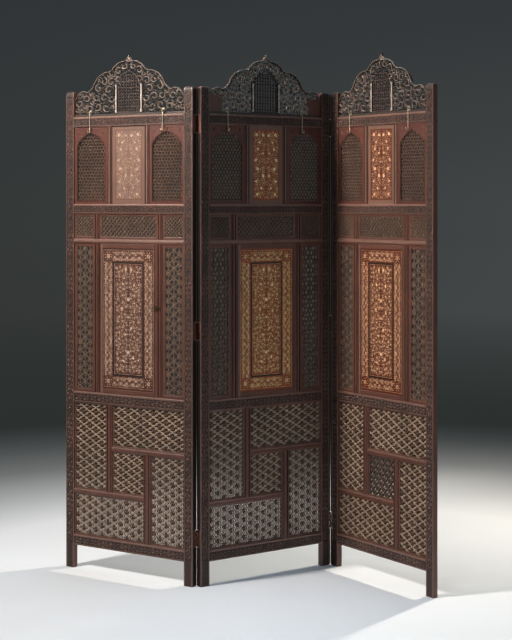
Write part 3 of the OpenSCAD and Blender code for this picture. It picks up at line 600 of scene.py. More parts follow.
def tube(shape, path, radii, finish, sides=8):
    """A round tube along a path in (u, v, z), its ends closed."""
    path = [Vector(p) for p in path]
    n = len(path)
    radii = [radii] * n if isinstance(radii, (int, float)) else radii
    normal = None
    points, faces = [], []
    for i, p in enumerate(path):
        way = (path[min(i + 1, n - 1)] - path[max(i - 1, 0)]).normalized()
        if normal is None:
            normal = way.orthogonal().normalized()
        normal = (normal - way * normal.dot(way)).normalized()
        other = way.cross(normal)
        for j in range(sides):
            a = 2 * math.pi * j / sides
            points.append(p + (normal * math.cos(a) + other * math.sin(a)) * radii[i])
    for i in range(n - 1):
        for j in range(sides):
            k = (j + 1) % sides
            faces.append((i * sides + j, i * sides + k, (i + 1) * sides + k, (i + 1) * sides + j))
    faces.append(tuple(reversed(range(sides))))
    faces.append(tuple(range((n - 1) * sides, n * sides)))
    shape.add([tuple(p) for p in points], faces, finish, True)


# ---------------------------------------------------------------------------------------
# Geometry Nodes for what repeats
# ---------------------------------------------------------------------------------------

def sockets(tree, wanted):
    """Declares a tree's inputs and its one output, and returns the group input node."""
    tree.interface.new_socket("Geometry", in_out="OUTPUT", socket_type="NodeSocketGeometry")
    for name, kind in wanted:
        tree.interface.new_socket(name, in_out="INPUT", socket_type=kind)
    return tree.nodes.new("NodeGroupInput")


def spread_on_points(tree, given, instance):
    """Puts an instance on each point, turned and sized by the points' own values."""
    turn = add_node(tree, "GeometryNodeInputNamedAttribute", {"Name": "turn"},
                    data_type="FLOAT_VECTOR")
    size = add_node(tree, "GeometryNodeInputNamedAttribute", {"Name": "size"},
                    data_type="FLOAT")
    turning = add_node(tree, "FunctionNodeEulerToRotation", {"Euler": turn.outputs["Attribute"]})
    on = add_node(tree, "GeometryNodeInstanceOnPoints", {
        "Points": given.outputs["Points"], "Instance": instance,
        "Rotation": turning.outputs["Rotation"], "Scale": size.outputs["Attribute"]})
    real = add_node(tree, "GeometryNodeRealizeInstances", {"Geometry": on.outputs["Instances"]})
    done = add_node(tree, "GeometryNodeSetMaterial", {
        "Geometry": real.outputs["Geometry"], "Material": given.outputs["Finish"]})
    add_node(tree, "NodeGroupOutput", {"Geometry": done.outputs["Geometry"]})


def motif_tree():
    """Repeats a carved or inlaid motif on points."""
    if "Repeat a motif" in bpy.data.node_groups:
        return bpy.data.node_groups["Repeat a motif"]
    tree = bpy.data.node_groups.new("Repeat a motif", "GeometryNodeTree")
    given = sockets(tree, (("Points", "NodeSocketGeometry"), ("Motif", "NodeSocketObject"),
                           ("Finish", "NodeSocketMaterial")))
    motif = add_node(tree, "GeometryNodeObjectInfo", {"Object": given.outputs["Motif"],
                                                      "As Instance": True})
    spread_on_points(tree, given, motif.outputs["Geometry"])
    return tree


def bead_tree():
    """Repeats a turned bead with its spindles on points, which makes a lattice."""
    if "Bead lattice" in bpy.data.node_groups:
        return bpy.data.node_groups["Bead lattice"]
    tree = bpy.data.node_groups.new("Bead lattice", "GeometryNodeTree")
    given = sockets(tree, (("Points", "NodeSocketGeometry"), ("Bead Radius", "NodeSocketFloat"),
                           ("Spindle Radius", "NodeSocketFloat"),
                           ("Spindle Length", "NodeSocketFloat"), ("Spindles", "NodeSocketInt"),
                           ("Finish", "NodeSocketMaterial")))
    ball = add_node(tree, "GeometryNodeMeshUVSphere", {
        "Segments": 8, "Rings": 4, "Radius": given.outputs["Bead Radius"]})
    # A spindle is thinnest at its bead and swells towards the middle of the link
    neck = add_node(tree, "ShaderNodeMath", {0: given.outputs["Spindle Radius"], 1: 0.75},
                    operation="MULTIPLY")
    swell = add_node(tree, "ShaderNodeMath", {0: given.outputs["Spindle Radius"], 1: 1.3},
                     operation="MULTIPLY")
    rod = add_node(tree, "GeometryNodeMeshCone", {
        "Vertices": 5, "Side Segments": 1, "Radius Bottom": neck.outputs["Value"],
        "Radius Top": swell.outputs["Value"], "Depth": given.outputs["Spindle Length"]},
        fill_type="NONE")
    count = add_node(tree, "GeometryNodeMeshLine", {
        "Count": given.outputs["Spindles"], "Offset": (0.0, 0.0, 0.0)})
    index = add_node(tree, "GeometryNodeInputIndex")
    share = add_node(tree, "ShaderNodeMath", {0: index.outputs["Index"],
                                              1: given.outputs["Spindles"]}, operation="DIVIDE")
    angle = add_node(tree, "ShaderNodeMath", {0: share.outputs["Value"], 1: 2 * math.pi},
                     operation="MULTIPLY")
    euler = add_node(tree, "ShaderNodeCombineXYZ", {"Y": angle.outputs["Value"]})
    turning = add_node(tree, "FunctionNodeEulerToRotation", {"Euler": euler.outputs["Vector"]})
    rods = add_node(tree, "GeometryNodeInstanceOnPoints", {
        "Points": count.outputs["Mesh"], "Instance": rod.outputs["Mesh"],
        "Rotation": turning.outputs["Rotation"]})
    real = add_node(tree, "GeometryNodeRealizeInstances", {"Geometry": rods.outputs["Instances"]})
    both = tree.nodes.new("GeometryNodeJoinGeometry")
    tree.links.new(ball.outputs["Mesh"], both.inputs["Geometry"])
    tree.links.new(real.outputs["Geometry"], both.inputs["Geometry"])
    smooth = add_node(tree, "GeometryNodeSetShadeSmooth", {
        "Geometry": both.outputs["Geometry"], "Shade Smooth": True})
    spread_on_points(tree, given, smooth.outputs["Geometry"])
    return tree


def repeated(shape, tree, places, values, finish, smooth=False):
    """Evaluates a tree on places of (u, v, z, in-plane angle, size) and adds its faces."""
    if not places:
        return
    places = np.asarray(places, float)
    base = bpy.data.meshes.new("places")
    base.vertices.add(len(places))
    base.vertices.foreach_set("co", places[:, :3].astype(np.float32).ravel())
    turn = base.attributes.new("turn", "FLOAT_VECTOR", "POINT")
    angles = np.zeros((len(places), 3), np.float32)
    angles[:, 1] = -places[:, 3]
    turn.data.foreach_set("vector", angles.ravel())
    size = base.attributes.new("size", "FLOAT", "POINT")
    size.data.foreach_set("value", places[:, 4].astype(np.float32))
    holder = bpy.data.objects.new("places", base)
    bpy.context.scene.collection.objects.link(holder)
    modifier = holder.modifiers.new("Repeat", "NODES")
    modifier.node_group = tree
    named = {s.name: s.identifier for s in tree.interface.items_tree if s.in_out == "INPUT"}
    for name, value in values.items():
        modifier[named[name]] = value
    modifier[named["Finish"]] = finishes()[finish]
    holder.update_tag()
    graph = bpy.context.evaluated_depsgraph_get()
    made = bpy.data.meshes.new_from_object(holder.evaluated_get(graph))
    points = np.zeros(len(made.vertices) * 3, np.float32)
    made.vertices.foreach_get("co", points)
    corners = np.zeros(len(made.loops), np.int32)
    made.loops.foreach_get("vertex_index", corners)
    counts = np.zeros(len(made.polygons), np.int32)
    made.polygons.foreach_get("loop_total", counts)
    shape.add_arrays(points.reshape(-1, 3).astype(float), corners, counts, finish, smooth)
    bpy.data.meshes.remove(made)
    holder.modifiers.remove(modifier)
    bpy.data.objects.remove(holder)
    bpy.data.meshes.remove(base)


def motif(name, shape):
    """A motif to repeat, as an object that stands in no scene."""
    return bpy.data.objects.new(name, shape.mesh(name))


def dropped(*motifs):
    """Removes motifs that are no longer needed."""
    for one in motifs:
        mesh = one.data
        bpy.data.objects.remove(one)
        bpy.data.meshes.remove(mesh)


# ---------------------------------------------------------------------------------------
# Carving
# ---------------------------------------------------------------------------------------

def stem_turn(pitch, wide, low, high):
    """A new shape that holds one turn of a vine's waving stem about (0, 0)."""
    shape = Shape()
    stem = [(pitch * (i / 10 - 0.5), 0.30 * wide * math.sin(2 * math.pi * i / 10))
            for i in range(11)]
    ribbon(shape, stem, 0.15 * wide, low, high, "relief")
    return shape


def leafy(pitch, wide, low, high):
    """One turn of a running vine with curled leaves in both bays."""
    shape = stem_turn(pitch, wide, low, high)
    for x, z, lean, far, finish in (
            (-0.40, -0.30, 1.2, 0.30, "relief"), (-0.27, -0.36, 1.9, 0.34, "edge"),
            (-0.12, -0.30, 2.6, 0.30, "relief"), (-0.30, 0.36, -1.0, 0.26, "relief"),
            (0.38, 0.32, -2.0, 0.34, "relief"), (0.24, 0.40, -1.3, 0.36, "relief"),
            (0.10, 0.26, -0.5, 0.28, "edge"), (0.30, -0.36, 2.1, 0.28, "relief")):
        petal(shape, (x * pitch, z * wide), lean, far * wide, 0.24 * wide, low, high, finish)
    return shape


def vine(pitch, wide, low, high):
    """One turn of a running vine with a rosette and a pair of leaves in each bay."""
    shape = stem_turn(pitch, wide, low, high)
    for side in (1, -1):
        x = -side * pitch / 4
        for i in range(5):
            petal(shape, (x, -side * 0.17 * wide), side * 1.57 + 2 * math.pi * i / 5, 0.29 * wide,
                  0.25 * wide, low, high, "edge" if i % 2 else "relief")
        for lean, finish in ((-0.7, "relief"), (0.7, "edge")):
            petal(shape, (x, side * 0.26 * wide), side * (math.pi / 2 + lean), 0.36 * wide,
                  0.26 * wide, low, high + 0.1, finish)
    return shape


def carved_run(start, end, pitch, size, seed):
    """Places of a running vine from start to end in (u, z), as uneven as hand work is."""
    dice = random.Random(seed)
    start, end = np.array(start, float), np.array(end, float)
    far = np.linalg.norm(end - start)
    n = max(1, int(round(far / (pitch * size))))
    way = (end - start) / far
    out = []
    for i in range(n):
        at = start + way * far * (i + 0.5) / n
        angle = math.atan2(way[1], way[0]) + dice.uniform(-0.07, 0.07)
        out.append((at[0], 0.0, at[1], angle, far / n / pitch * dice.uniform(0.93, 1.05)))
    return out


def carve(shape, motifs, places, seed):
    """Sets one of the motifs at each place, in no even order."""
    dice = random.Random(seed)
    picks = [dice.randrange(len(motifs)) for _ in places]
    for k, one in enumerate(motifs):
        repeated(shape, motif_tree(), [q for q, pick in zip(places, picks) if pick == k],
                 {"Motif": one}, "relief")


class SCREEN_OT_frame(bpy.types.Operator):
    """Carve the stiles and rails of the three leaves"""
    bl_idname = "screen.frame"
    bl_label = "Stiles and Rails"

    def execute(self, context):
        deep, pitch = mm("carving_depth"), mm("vine_pitch")
        turns = (motif("vine", vine(pitch, MOTIF_W, deep, 0.15)),
                 motif("leafy", leafy(pitch, MOTIF_W, deep, 0.15)))
        seed = sizes().seed
        for leaf in LEAVES:
            for side, u in (("l", STILE_W / 2), ("r", LEAF_W - STILE_W / 2)):
                shape = Shape()
                self.stile(shape, u, deep)
                # A lip stands out on the side where its fold has its pins
                if (leaf, side) in (("left", "r"), ("middle", "l")):
                    self.lip(shape, side, True)
                elif (leaf, side) in (("middle", "r"), ("right", "l")):
                    self.lip(shape, side, False)
                places = carved_run((u, STILE_CARVED[0] + 6), (u, STILE_CARVED[1] - 5), pitch, 1.0,
                                    seed)
                carve(shape, turns, places, seed)
                finished(f"{leaf}_stile_{side}_carved", shape, leaf, f"{leaf}_leaf",
                         [f"{leaf}_stile_{side}"])
            shape = Shape()
            for z0, z1 in (BOTTOM_RAIL, LOCK_RAIL, WAIST_RAIL, TOP_RAIL):
                self.rail(shape, z0, z1, deep)
                # The vine fills the band between the fillet and the bead
                low, high = z0 + 5.3, z1 - RAIL_BEAD
                mid = (low + high) / 2
                places = carved_run((IN0 + 4, mid), (IN1 - 4, mid), pitch,
                                    (high - low) / MOTIF_W, seed + 1)
                carve(shape, turns, places, seed)
            self.thin_rail(shape)
            finished(f"{leaf}_rails_carved", shape, leaf, f"{leaf}_leaf", [f"{leaf}_rails"])
        dropped(*turns)
        return {"FINISHED"}

    @staticmethod
    def stile(shape, u, deep):
        """An upright post: fillets at its sides, a sunk band between, a plain foot and head."""
        h, c, band = STILE_W / 2, 1.4, STILE_BAND
        foot, head = STILE_CARVED

        def ring(sunk, small=0.0):
            """The post's section, with its band sunk and its whole outline drawn in."""
            f = h - small
            # The sunk band's floor is of the dark ground finish: wax, and painted shade
            return [(-f, c + small, "edge"), (c - f, small, "relief"), (-band - 1, small, "edge"),
                    (-band, small + sunk, "ground"), (band, small + sunk, "edge"),
                    (band + 1, small, "relief"), (f - c, small, "edge"),
                    (f, c + small, "plain_up"), (f, LEAF_T - c - small, "plain_up"),
                    (f - c, LEAF_T - small, "plain_up"), (c - f, LEAF_T - small, "plain_up"),
                    (-f, LEAF_T - c - small, "plain_up")]

        # The head's rounded top is of the paler edge finish: wear, and a painted highlight on top
        heights = [(0.0, 0.0, 1.0), (1.2, 0.0, 0.0), (foot, 0.0, 0.0), (foot + 1, deep, 0.0),
                   (head - 1, deep, 0.0), (head, 0.0, 0.0), (POST_Z - 12, 0.0, 0.0),
                   (POST_Z - 7, 0.0, 1.2), (POST_Z - 3, 0.0, 3.6), (POST_Z, 0.0, 7.6)]
        sweep(shape, [(u, z) for z, _, _ in heights], [ring(d, s) for _, d, s in heights],
              "edge")

    @staticmethod
    def lip(shape, side, at_back):
        """A thin lip along the stile's meeting edge, between the hinges, that keeps the light out
        of the fold. It is of the dark stringing finish, a dark sheet that paints the shade of the
        gap between the leaves."""
        u = (-LIP_OUT, LIP_IN) if side == "l" else (LEAF_W - LIP_IN, LEAF_W + LIP_OUT)
        v = (2.0, LEAF_T + LIP_PROUD) if at_back else (-LIP_PROUD, LEAF_T - 2.0)
        mid, half = (u[0] + u[1]) / 2, (u[1] - u[0]) / 2
        for z0, z1 in LIP_RUNS:
            beam(shape, (mid, z0), (mid, z1), half, *v, flat(half, "string", 0.5), "string",
                 "string", 0.5)

    @staticmethod
    def thin_rail(shape):
        """The rail over the doors, a plain half round. Its upper half is of the paler edge finish,
        a painted highlight on the side that faces up.
        """
        z0, z1 = THIN_RAIL
        half, bow = (z1 - z0) / 2, 3.4
        front = [(half * math.sin(t), bow - bow * math.cos(t),
                  "plain_level" if t < -0.5 else "edge")
                 for t in (-1.3, -0.8, -0.3, 0.3, 0.8, 1.3)]
        beam(shape, (IN0, z0 + half), (IN1, z0 + half), half, 0.0, LEAF_T, front,
             "plain_level", chamfer=3.2)

    @staticmethod
    def rail(shape, z0, z1, deep):
        """A level rail: a fillet below, a sunk band, and a rounded bead along its top. The band and
        the quirk under the bead are of the dark ground finish, painted shade as well as wax; the
        bead is of the paler edge finish, a painted highlight along the top as well as wear.
        """
        h = (z1 - z0) / 2
        front = [(1.2 - h, 0.0, "relief"), (5.0 - h, 0.0, "edge"), (5.8 - h, deep, "ground"),
                 (h - 10.0, deep, "edge"), (h - 9.3, 0.4, "relief"), (h - 8.4, 1.5, "ground"),
                 (h - 7.4, 0.5, "edge"), (h - 5.4, 0.0, "edge"), (h - 3.0, 0.1, "edge"),
                 (h - 1.2, 0.9, "edge")]
        beam(shape, (IN0, z0 + h), (IN1, z0 + h), h, 0.0, LEAF_T, front, "plain_level",
             chamfer=2.4)


class SCREEN_OT_bars(bpy.types.Operator):
    """Run the moulded bars between the rails"""
    bl_idname = "screen.bars"
    bl_label = "Bars"

    def execute(self, context):
        for leaf in LEAVES:
            shape = Shape()
            # The upper bars' beads are of the paler edge finish: a painted highlight, as the upper
            # tier is more strongly lit
            for u0, u1 in UPPER_BARS:
                self.upright(shape, u0, u1, *UPPER_TIER, "edge")
            for u0, u1 in MIDDLE_BARS:
                self.upright(shape, u0, u1, *FRIEZE)
                self.upright(shape, u0, u1, *DOOR_TIER)
            self.upright(shape, *V1, H2[1], LOWER_TIER[1])
            self.upright(shape, *V2, LOWER_TIER[0], H1[0])
            self.level(shape, V1[1], IN1, *H1)
            self.level(shape, IN0, V2[0], *H2)
            finished(f"{leaf}_bars_moulded", shape, leaf, f"{leaf}_leaf", [f"{leaf}_bars"])
        return {"FINISHED"}

    @staticmethod
    def upright(shape, u0, u1, z0, z1, bead="plain_up"):
        """A planed upright: a bead between two deep quirks, with a fillet at each side. The quirks'
        walls and floors are of the dark stringing finish, painted shade in them.
        """
        h = (u1 - u0) / 2
        a, b = h - 3.6, h - 6.0
        front = [(1.0 - h, 0.0, "plain_up"), (-a - 0.5, 0.2, "string"), (-a, 4.0, "string"),
                 (-b, 4.0, bead), (0.4 - b, 0.6, bead), (-0.5 * b, -0.6, bead),
                 (0.5 * b, -0.6, bead), (b - 0.4, 0.6, "string"), (b, 4.0, "string"),
                 (a, 4.0, "plain_up"), (a + 0.5, 0.2, "plain_up"), (h - 1.0, 0.0, "plain_up")]
        beam(shape, ((u0 + u1) / 2, z0), ((u0 + u1) / 2, z1), h, 2.0, 20.0, front, "plain_up")

    @staticmethod
    def level(shape, u0, u1, z0, z1):
        """A level bar with a rounded top edge, of the paler edge finish: wear, and a painted
        highlight along the top.
        """
        h = (z1 - z0) / 2
        front = [(1.2 - h, 0.0, "plain_level"), (h - 8.0, 0.0, "plain_level"),
                 (h - 7.2, 1.0, "plain_level"), (h - 6.2, 0.2, "edge"), (h - 3.6, -0.2, "edge"),
                 (h - 1.6, 0.5, "edge")]
        beam(shape, (u0, z0 + h), (u1, z0 + h), h, 2.0, 20.0, front, "plain_level", chamfer=2.0)


# ---------------------------------------------------------------------------------------
# Lattices
# ---------------------------------------------------------------------------------------

def spaced(low, high, pitch):
    """How many spaces of about pitch fill a length evenly, and what each then measures."""
    n = max(1, round((high - low) / pitch))
    return n, (high - low) / n


def diagonal_knots(b, pitch):
    """Beads of a diagonal lattice whose cells are pitch wide."""
    (nu, pu), (nz, pz) = spaced(b[0], b[1], pitch), spaced(b[2], b[3], pitch)
    return [(b[0] + i * pu / 2, GRILLE_V, b[2] + j * pz / 2, math.pi / 4, 1.0)
            for i in range(2 * nu + 1) for j in range(2 * nz + 1) if (i + j) % 2 == 0]


def hexagon_knots(b, side, inside):
    """Beads at the corners of six-sided cells that stand on their points."""
    nu, wide = spaced(b[0], b[1], side * math.sqrt(3))
    nz, tall = spaced(b[2], b[3], side * 1.5)
    out = []
    for j in range(nz + 1):
        for i in range(-1, nu + 1):
            u, z = b[0] + (i + (j % 2) / 2) * wide, b[2] + j * tall
            out.append((u, FINE_V, z - side / 4, math.pi, 1.0))
            out.append((u + wide / 2, FINE_V, z + side / 4, 0.0, 1.0))
    return [q for q in out if b[0] - 1 < q[0] < b[1] + 1 and b[2] - 1 < q[2] < b[3] + 1
            and inside(q[0], q[2])]


def star_knots(b, step):
    """A star lattice: big beads three steps apart, and two small beads on each link between
    them."""
    nz, wide = spaced(b[2], b[3], 3 * step)
    nu, tall = spaced(b[0], b[1], 3 * step * math.sqrt(0.75))
    big, small = [], []
    for j in range(-1, nu + 1):
        for i in range(-1, nz + 1):
            u, z = b[0] + (j + 0.5) * tall, b[2] + (i + (j % 2) / 2 + 0.25) * wide
            big.append((u, GRILLE_V, z, math.pi, 1.0))
            for du, dz in ((0.0, wide), (tall, wide / 2), (tall, -wide / 2)):
                way = math.atan2(dz, du)
                for share, turn in ((1, -math.pi / 2), (2, math.pi / 2)):
                    small.append((u + share * du / 3, GRILLE_V, z + share * dz / 3, way + turn,
                                  1.0))
    keep = lambda q: b[0] - 2 < q[0] < b[1] + 2 and b[2] - 2 < q[2] < b[3] + 2
    return [q for q in big if keep(q)], [q for q in small if keep(q)]


def woven_knots(b, step):
    """Upright columns through which two strands slant: the dark beads, two steps apart, the
    beads of the strands, and the places of the columns."""
    nz, wide = spaced(b[2], b[3], step)
    nu, tall = spaced(b[0], b[1], step * math.sqrt(0.75))
    slant = math.atan2(wide / 2, tall)
    dark, strands = [], []
    columns = [b[0] + (j + 0.5) * tall for j in range(nu)]
    for j, u in enumerate(columns):
        for i in range(nz):
            z = b[2] + (i + (j % 2) / 2 + 0.25) * wide
            if j % 2 == 0 and i % 2 == j // 2 % 2:
                dark.append((u, WOVEN_V, z, 0.0, 1.0))
            else:
                strands.append((u, WOVEN_V, z, (slant if j % 2 else -slant) - math.pi / 2, 1.0))
    return dark, strands, columns


def border(shape, b, wide, v0, v1, finish, lip=1.4):
    """A mitred moulding round a pane, sloping down to the lattice inside it."""
    h = wide / 2
    profile = [(-h, v0 + 0.8, "edge"), (0.8 - h, v0, finish), (h - 2.6, v0 + 0.2, "edge"),
               (h - 1.8, v0 + lip, finish), (h, v0 + lip + 0.6, finish), (h, v1, finish),
               (-h, v1, finish)]
    sweep(shape, rectangle(b, h), profile, finish, loop=True)


class SCREEN_OT_lattices(bpy.types.Operator):
    """String the turned beads of the grilles and frame each grille"""
    bl_idname = "screen.lattices"
    bl_label = "Bead Lattices"

    def execute(self, context):
        fine, diagonal = mm("fine_side"), mm("diagonal_pitch")
        side_step, step = mm("side_step"), mm("star_step")
        for leaf in LEAVES:
            shape = Shape()
            for u0, u1 in ARCHES:
                # A fine grille reaches a little behind its board all round
                mid, z0 = (u0 + u1) / 2, UPPER_TIER[0]
                inside = lambda u, z, m=mid: z < z0 + 276 - 0.5 * abs(u - m)
                knots = hexagon_knots((mid - 67, mid + 67, z0 + 6, z0 + 282), fine, inside)
                self.string(shape, knots, fine / 2, 3, 0.93, 1.0, "bead_dark")
            for k, (b, wide) in enumerate(zip(SQUARES, SQUARE_BORDERS)):
                border(shape, b, wide, 5.0, 16.0, "plain_level" if k == 1 else "plain_up")
                inner = shrunk(b, wide)
                if k < 3:
                    pitch = diagonal * (1.0 if k == 1 else 0.9)
                    self.string(shape, diagonal_knots(inner, pitch), pitch / math.sqrt(8), 4,
                                1.12, 1.25, "bead_mid")
                else:
                    self.stars(shape, inner, side_step)
            finished(f"{leaf}_upper_lattices", shape, leaf, f"{leaf}_leaf",
                     [f"{leaf}_upper_grilles"])
            shape = Shape()
            for k, b in enumerate(DIAMONDS):
                border(shape, b, DIAMOND_BORDER, 6.0, 16.0, "plain_up", lip=0.6)
                inner = shrunk(b, DIAMOND_BORDER)
                if k == 2 and leaf == "right":
                    self.coarse(shape, inner)
                else:
                    self.woven(shape, inner, step * (0.85 if k == 2 else 1.0))
            finished(f"{leaf}_lower_lattices", shape, leaf, f"{leaf}_leaf",
                     [f"{leaf}_lower_grilles"])
        return {"FINISHED"}

    @classmethod
    def stars(cls, shape, b, step):
        """A tall side grille: big beads, and links of small ones between them."""
        full = step / BEAD_STEP
        big, small = star_knots(b, step)
        cls.string(shape, big, step / 2, 6, 1.5 * full, 1.3 * full)
        cls.string(shape, small, step / 2, 3, 1.22 * full, 1.3 * full, "bead_mid")

    @classmethod
    def coarse(cls, shape, b):
        """A coarse grille: big dark beads on slanting spindles, and pale ones between."""
        knots = diagonal_knots(b, COARSE_PITCH)
        cls.string(shape, knots, 12.2, 4, 1.35, 1.55, "knot")
        between = [(u + COARSE_PITCH / 2, v, z, 0.0, 1.0) for u, v, z, _, _ in knots
                   if u + COARSE_PITCH / 2 < b[1]]
        cls.string(shape, between, 12.0, 4, 0.95, 0.9)

    @classmethod
    def woven(cls, shape, b, step):
        """A lower grille: pale strands that slant both ways over brown columns, with dark beads
        where every second pair of them crosses."""
        dark, strands, columns = woven_knots(b, step)
        cls.string(shape, dark, 0.5 * step, 6, 1.05, 0.95, "bead_dark")
        # The strands' pale beads are wear, and painted highlight
        cls.string(shape, strands, step, 2, 1.05, 0.86, "strand")
        rod = [(-2.8, 13.4), (-1.4, 12.0), (1.4, 12.0), (2.8, 13.4), (1.4, 15.8), (-1.4, 15.8)]
        half = (columns[1] - columns[0]) / 2
        for u in columns + [u + half for u in columns]:
            sweep(shape, [(u, b[2]), (u, b[3])], rod, "bead_mid")

    @staticmethod
    def string(shape, places, reach, spindles, bead=1.0, rod=1.0, finish="bead"):
        """Beads at the places, each with spindles that reach halfway to its neighbours."""
        repeated(shape, bead_tree(), places, {
            "Bead Radius": mm("bead_radius") * bead, "Spindle Radius": mm("spindle_radius") * rod,
            "Spindle Length": reach, "Spindles": spindles}, finish, True)


# ---------------------------------------------------------------------------------------
# Arched boards
# ---------------------------------------------------------------------------------------

def holed_board(shape, b, outline, v0, v1, front, back, reveal, chamfer=1.2):
    """A board over (left, right, bottom, top) with one opening, whose outline runs
    counter-clockwise about its middle."""
    outline = np.asarray(outline, float)
    mid = np.array([(b[0] + b[1]) / 2, outline[:, 1].mean()])
    corners = [np.array(p) for p in rectangle(b)]

    def out(p):
        """Where the ray from the middle through p leaves the board."""
        d = p - mid
        reach = [((b[1] if d[0] > 0 else b[0]) - mid[0]) / d[0] if abs(d[0]) > 1e-6 else 1e9,
                 ((b[3] if d[1] > 0 else b[2]) - mid[1]) / d[1] if abs(d[1]) > 1e-6 else 1e9]
        return mid + d * min(reach)

    n = len(outline)
    unit = lambda steps: steps / np.linalg.norm(steps, axis=1)[:, None]
    way = unit(unit(outline - np.roll(outline, 1, 0)) + unit(np.roll(outline, -1, 0) - outline))
    inner = outline + np.stack([way[:, 1], -way[:, 0]], 1) * chamfer
    outer = [out(p) for p in inner]

    def after(q, p):
        """How far the corner q lies beyond p, counter-clockwise."""
        angle = lambda at: math.atan2(at[1] - mid[1], at[0] - mid[0])
        return (angle(q) - angle(p)) % (2 * math.pi)

    for v, name, flip, ring in ((v0, front, False, inner), (v1, back, True, outline)):
        for i in range(n):
            k = (i + 1) % n
            a, c = outer[i], outer[k]
            between = [q for q in corners if 1e-6 < after(q, a) < after(c, a) - 1e-6]
            between.sort(key=lambda q: after(q, a))
            poly = [ring[i], a] + between + [c, ring[k]]
            points = [(p[0], v, p[1]) for p in poly]
            face = tuple(range(len(points)))
            shape.add(points, [face[::-1] if flip else face], name)
    rim = [(x, v, z) for v in (v0, v1) for x, z in rectangle(b)]
    shape.add(rim, [(k, k + 4, (k + 1) % 4 + 4, (k + 1) % 4) for k in range(4)], back)
    points = [(p[0], v0, p[1]) for p in inner] + [(p[0], v0 + chamfer, p[1]) for p in outline] \
        + [(p[0], v1, p[1]) for p in outline]
    faces, names = [], []
    for i in range(n):
        k = (i + 1) % n
        faces += [(i, k, n + k, n + i), (n + i, n + k, 2 * n + k, 2 * n + i)]
        names += ["edge", reveal]
    shape.add(points, faces, names)


def cusped(width, straight, rise, cusp):
    """A pointed opening with a small cusp at each shoulder, about u = 0 from its sill up."""
    half = width / 2
    side = [(half, 0.0), (half, straight - 4)]
    side += arc((half, straight - 4), (half - cusp, straight + 9), -3.0, 4)[1:]
    side += arc((half - cusp, straight + 9), (0.5 * half, straight + 0.62 * rise), -3.5, 4)[1:]
    side += arc((0.5 * half, straight + 0.62 * rise), (0.0, straight + rise), -2.0, 4)[1:]
    return side + [(-u, z) for u, z in side[-2::-1]]


class SCREEN_OT_arches(bpy.types.Operator):
    """Cut the arched boards of the upper tier, with their mouldings and spandrels"""
    bl_idname = "screen.arches"
    bl_label = "Arched Boards"

    def execute(self, context):
        for leaf in LEAVES:
            shape = Shape()
            for k, (u0, u1) in enumerate(ARCHES):
                mid, z0 = (u0 + u1) / 2, UPPER_TIER[0] + ARCH_SILL
                # The right leaf's second arch has a small cusp at each shoulder
                arch = cusped(*ARCH, ARCH_CUSP) if leaf == "right" and k else \
                    pointed(*ARCH, ARCH_SWELL)
                holed_board(shape, (u0, u1, *UPPER_TIER), [(mid + u, z0 + z) for u, z in arch],
                            5.0, 9.0, "board", "board", "board")
                ring = [(mid + u * 1.035, z0 - 2.0 + z * 1.02) for u, z in arch]
                ribbon(shape, ring, 3.4, 5.1, 3.6, "board", loop=True)
                for s in (-1, 1):
                    self.spandrel(shape, mid, s, UPPER_TIER[1])
                for lean in (-0.5, 0.0, 0.5):
                    petal(shape, (mid, UPPER_TIER[1] - 20), math.pi / 2 + lean, 15.0, 6.0, 5.0,
                          3.4, "board")
            finished(f"{leaf}_arches_carved", shape, leaf, f"{leaf}_leaf",
                     [f"{leaf}_arch_boards"])
        return {"FINISHED"}

    @staticmethod
    def spandrel(shape, mid, s, top):
        """The low relief in the corner over an arch: a stem, a rosette and leaves."""
        at = (mid + s * 55.0, top - 20.0)
        stem = arc((mid + s * 66, top - 62), (mid + s * 18, top - 10), s * 8.0, 6)
        ribbon(shape, stem, 2.4, 5.0, 3.8, "board")
        for i in range(6):
            petal(shape, at, i * math.pi / 3, 9.0, 6.5, 5.0, 3.5, "board")
        button(shape, at, 2.6, 5.0, 3.2, "board")
        for x, z, lean in ((38, -12, 2.6), (62, -38, -1.3), (48, -34, 3.6), (28, -8, 3.3),
                           (64, -54, -1.7), (66, -6, 0.8)):
            petal(shape, (mid + s * x, top + z), lean if s > 0 else math.pi - lean, 12.0, 6.0, 5.0,
                  3.7, "board")


# ---------------------------------------------------------------------------------------
# Inlay
# ---------------------------------------------------------------------------------------

def inlaid_leaf(size, wide):
    """One leaf of bone from (0, 0) to the right."""
    shape = Shape()
    petal(shape, (0, 0), 0.0, size, wide, 0.05, -0.35, "bone_left")
    return shape


def inlaid_flower(radius, petals):
    """A flower of bone about (0, 0)."""
    shape = Shape()
    for i in range(petals):
        a = 2 * math.pi * i / petals
        petal(shape, (0.26 * radius * math.cos(a), 0.26 * radius * math.sin(a)), a,
              0.74 * radius, 0.72 * radius, 0.05, -0.4, "bone_left")
    button(shape, (0, 0), 0.22 * radius, 0.05, -0.4, "bone_left", 5)
    return shape


def packed(b, radii, seed):
    """Circles of (x, z, radius) packed into (left, right, bottom, top), largest first. radii
    lists each radius with the number of tries it gets."""
    dice = random.Random(seed)
    out = []
    for r, tries in radii:
        for _ in range(tries):
            x, z = dice.uniform(b[0] + r, b[1] - r), dice.uniform(b[2] + r, b[3] - r)
            if all(math.hypot(x - p, z - q) > 0.97 * (r + c) for p, q, c in out):
                out.append((x, z, r))
    return out


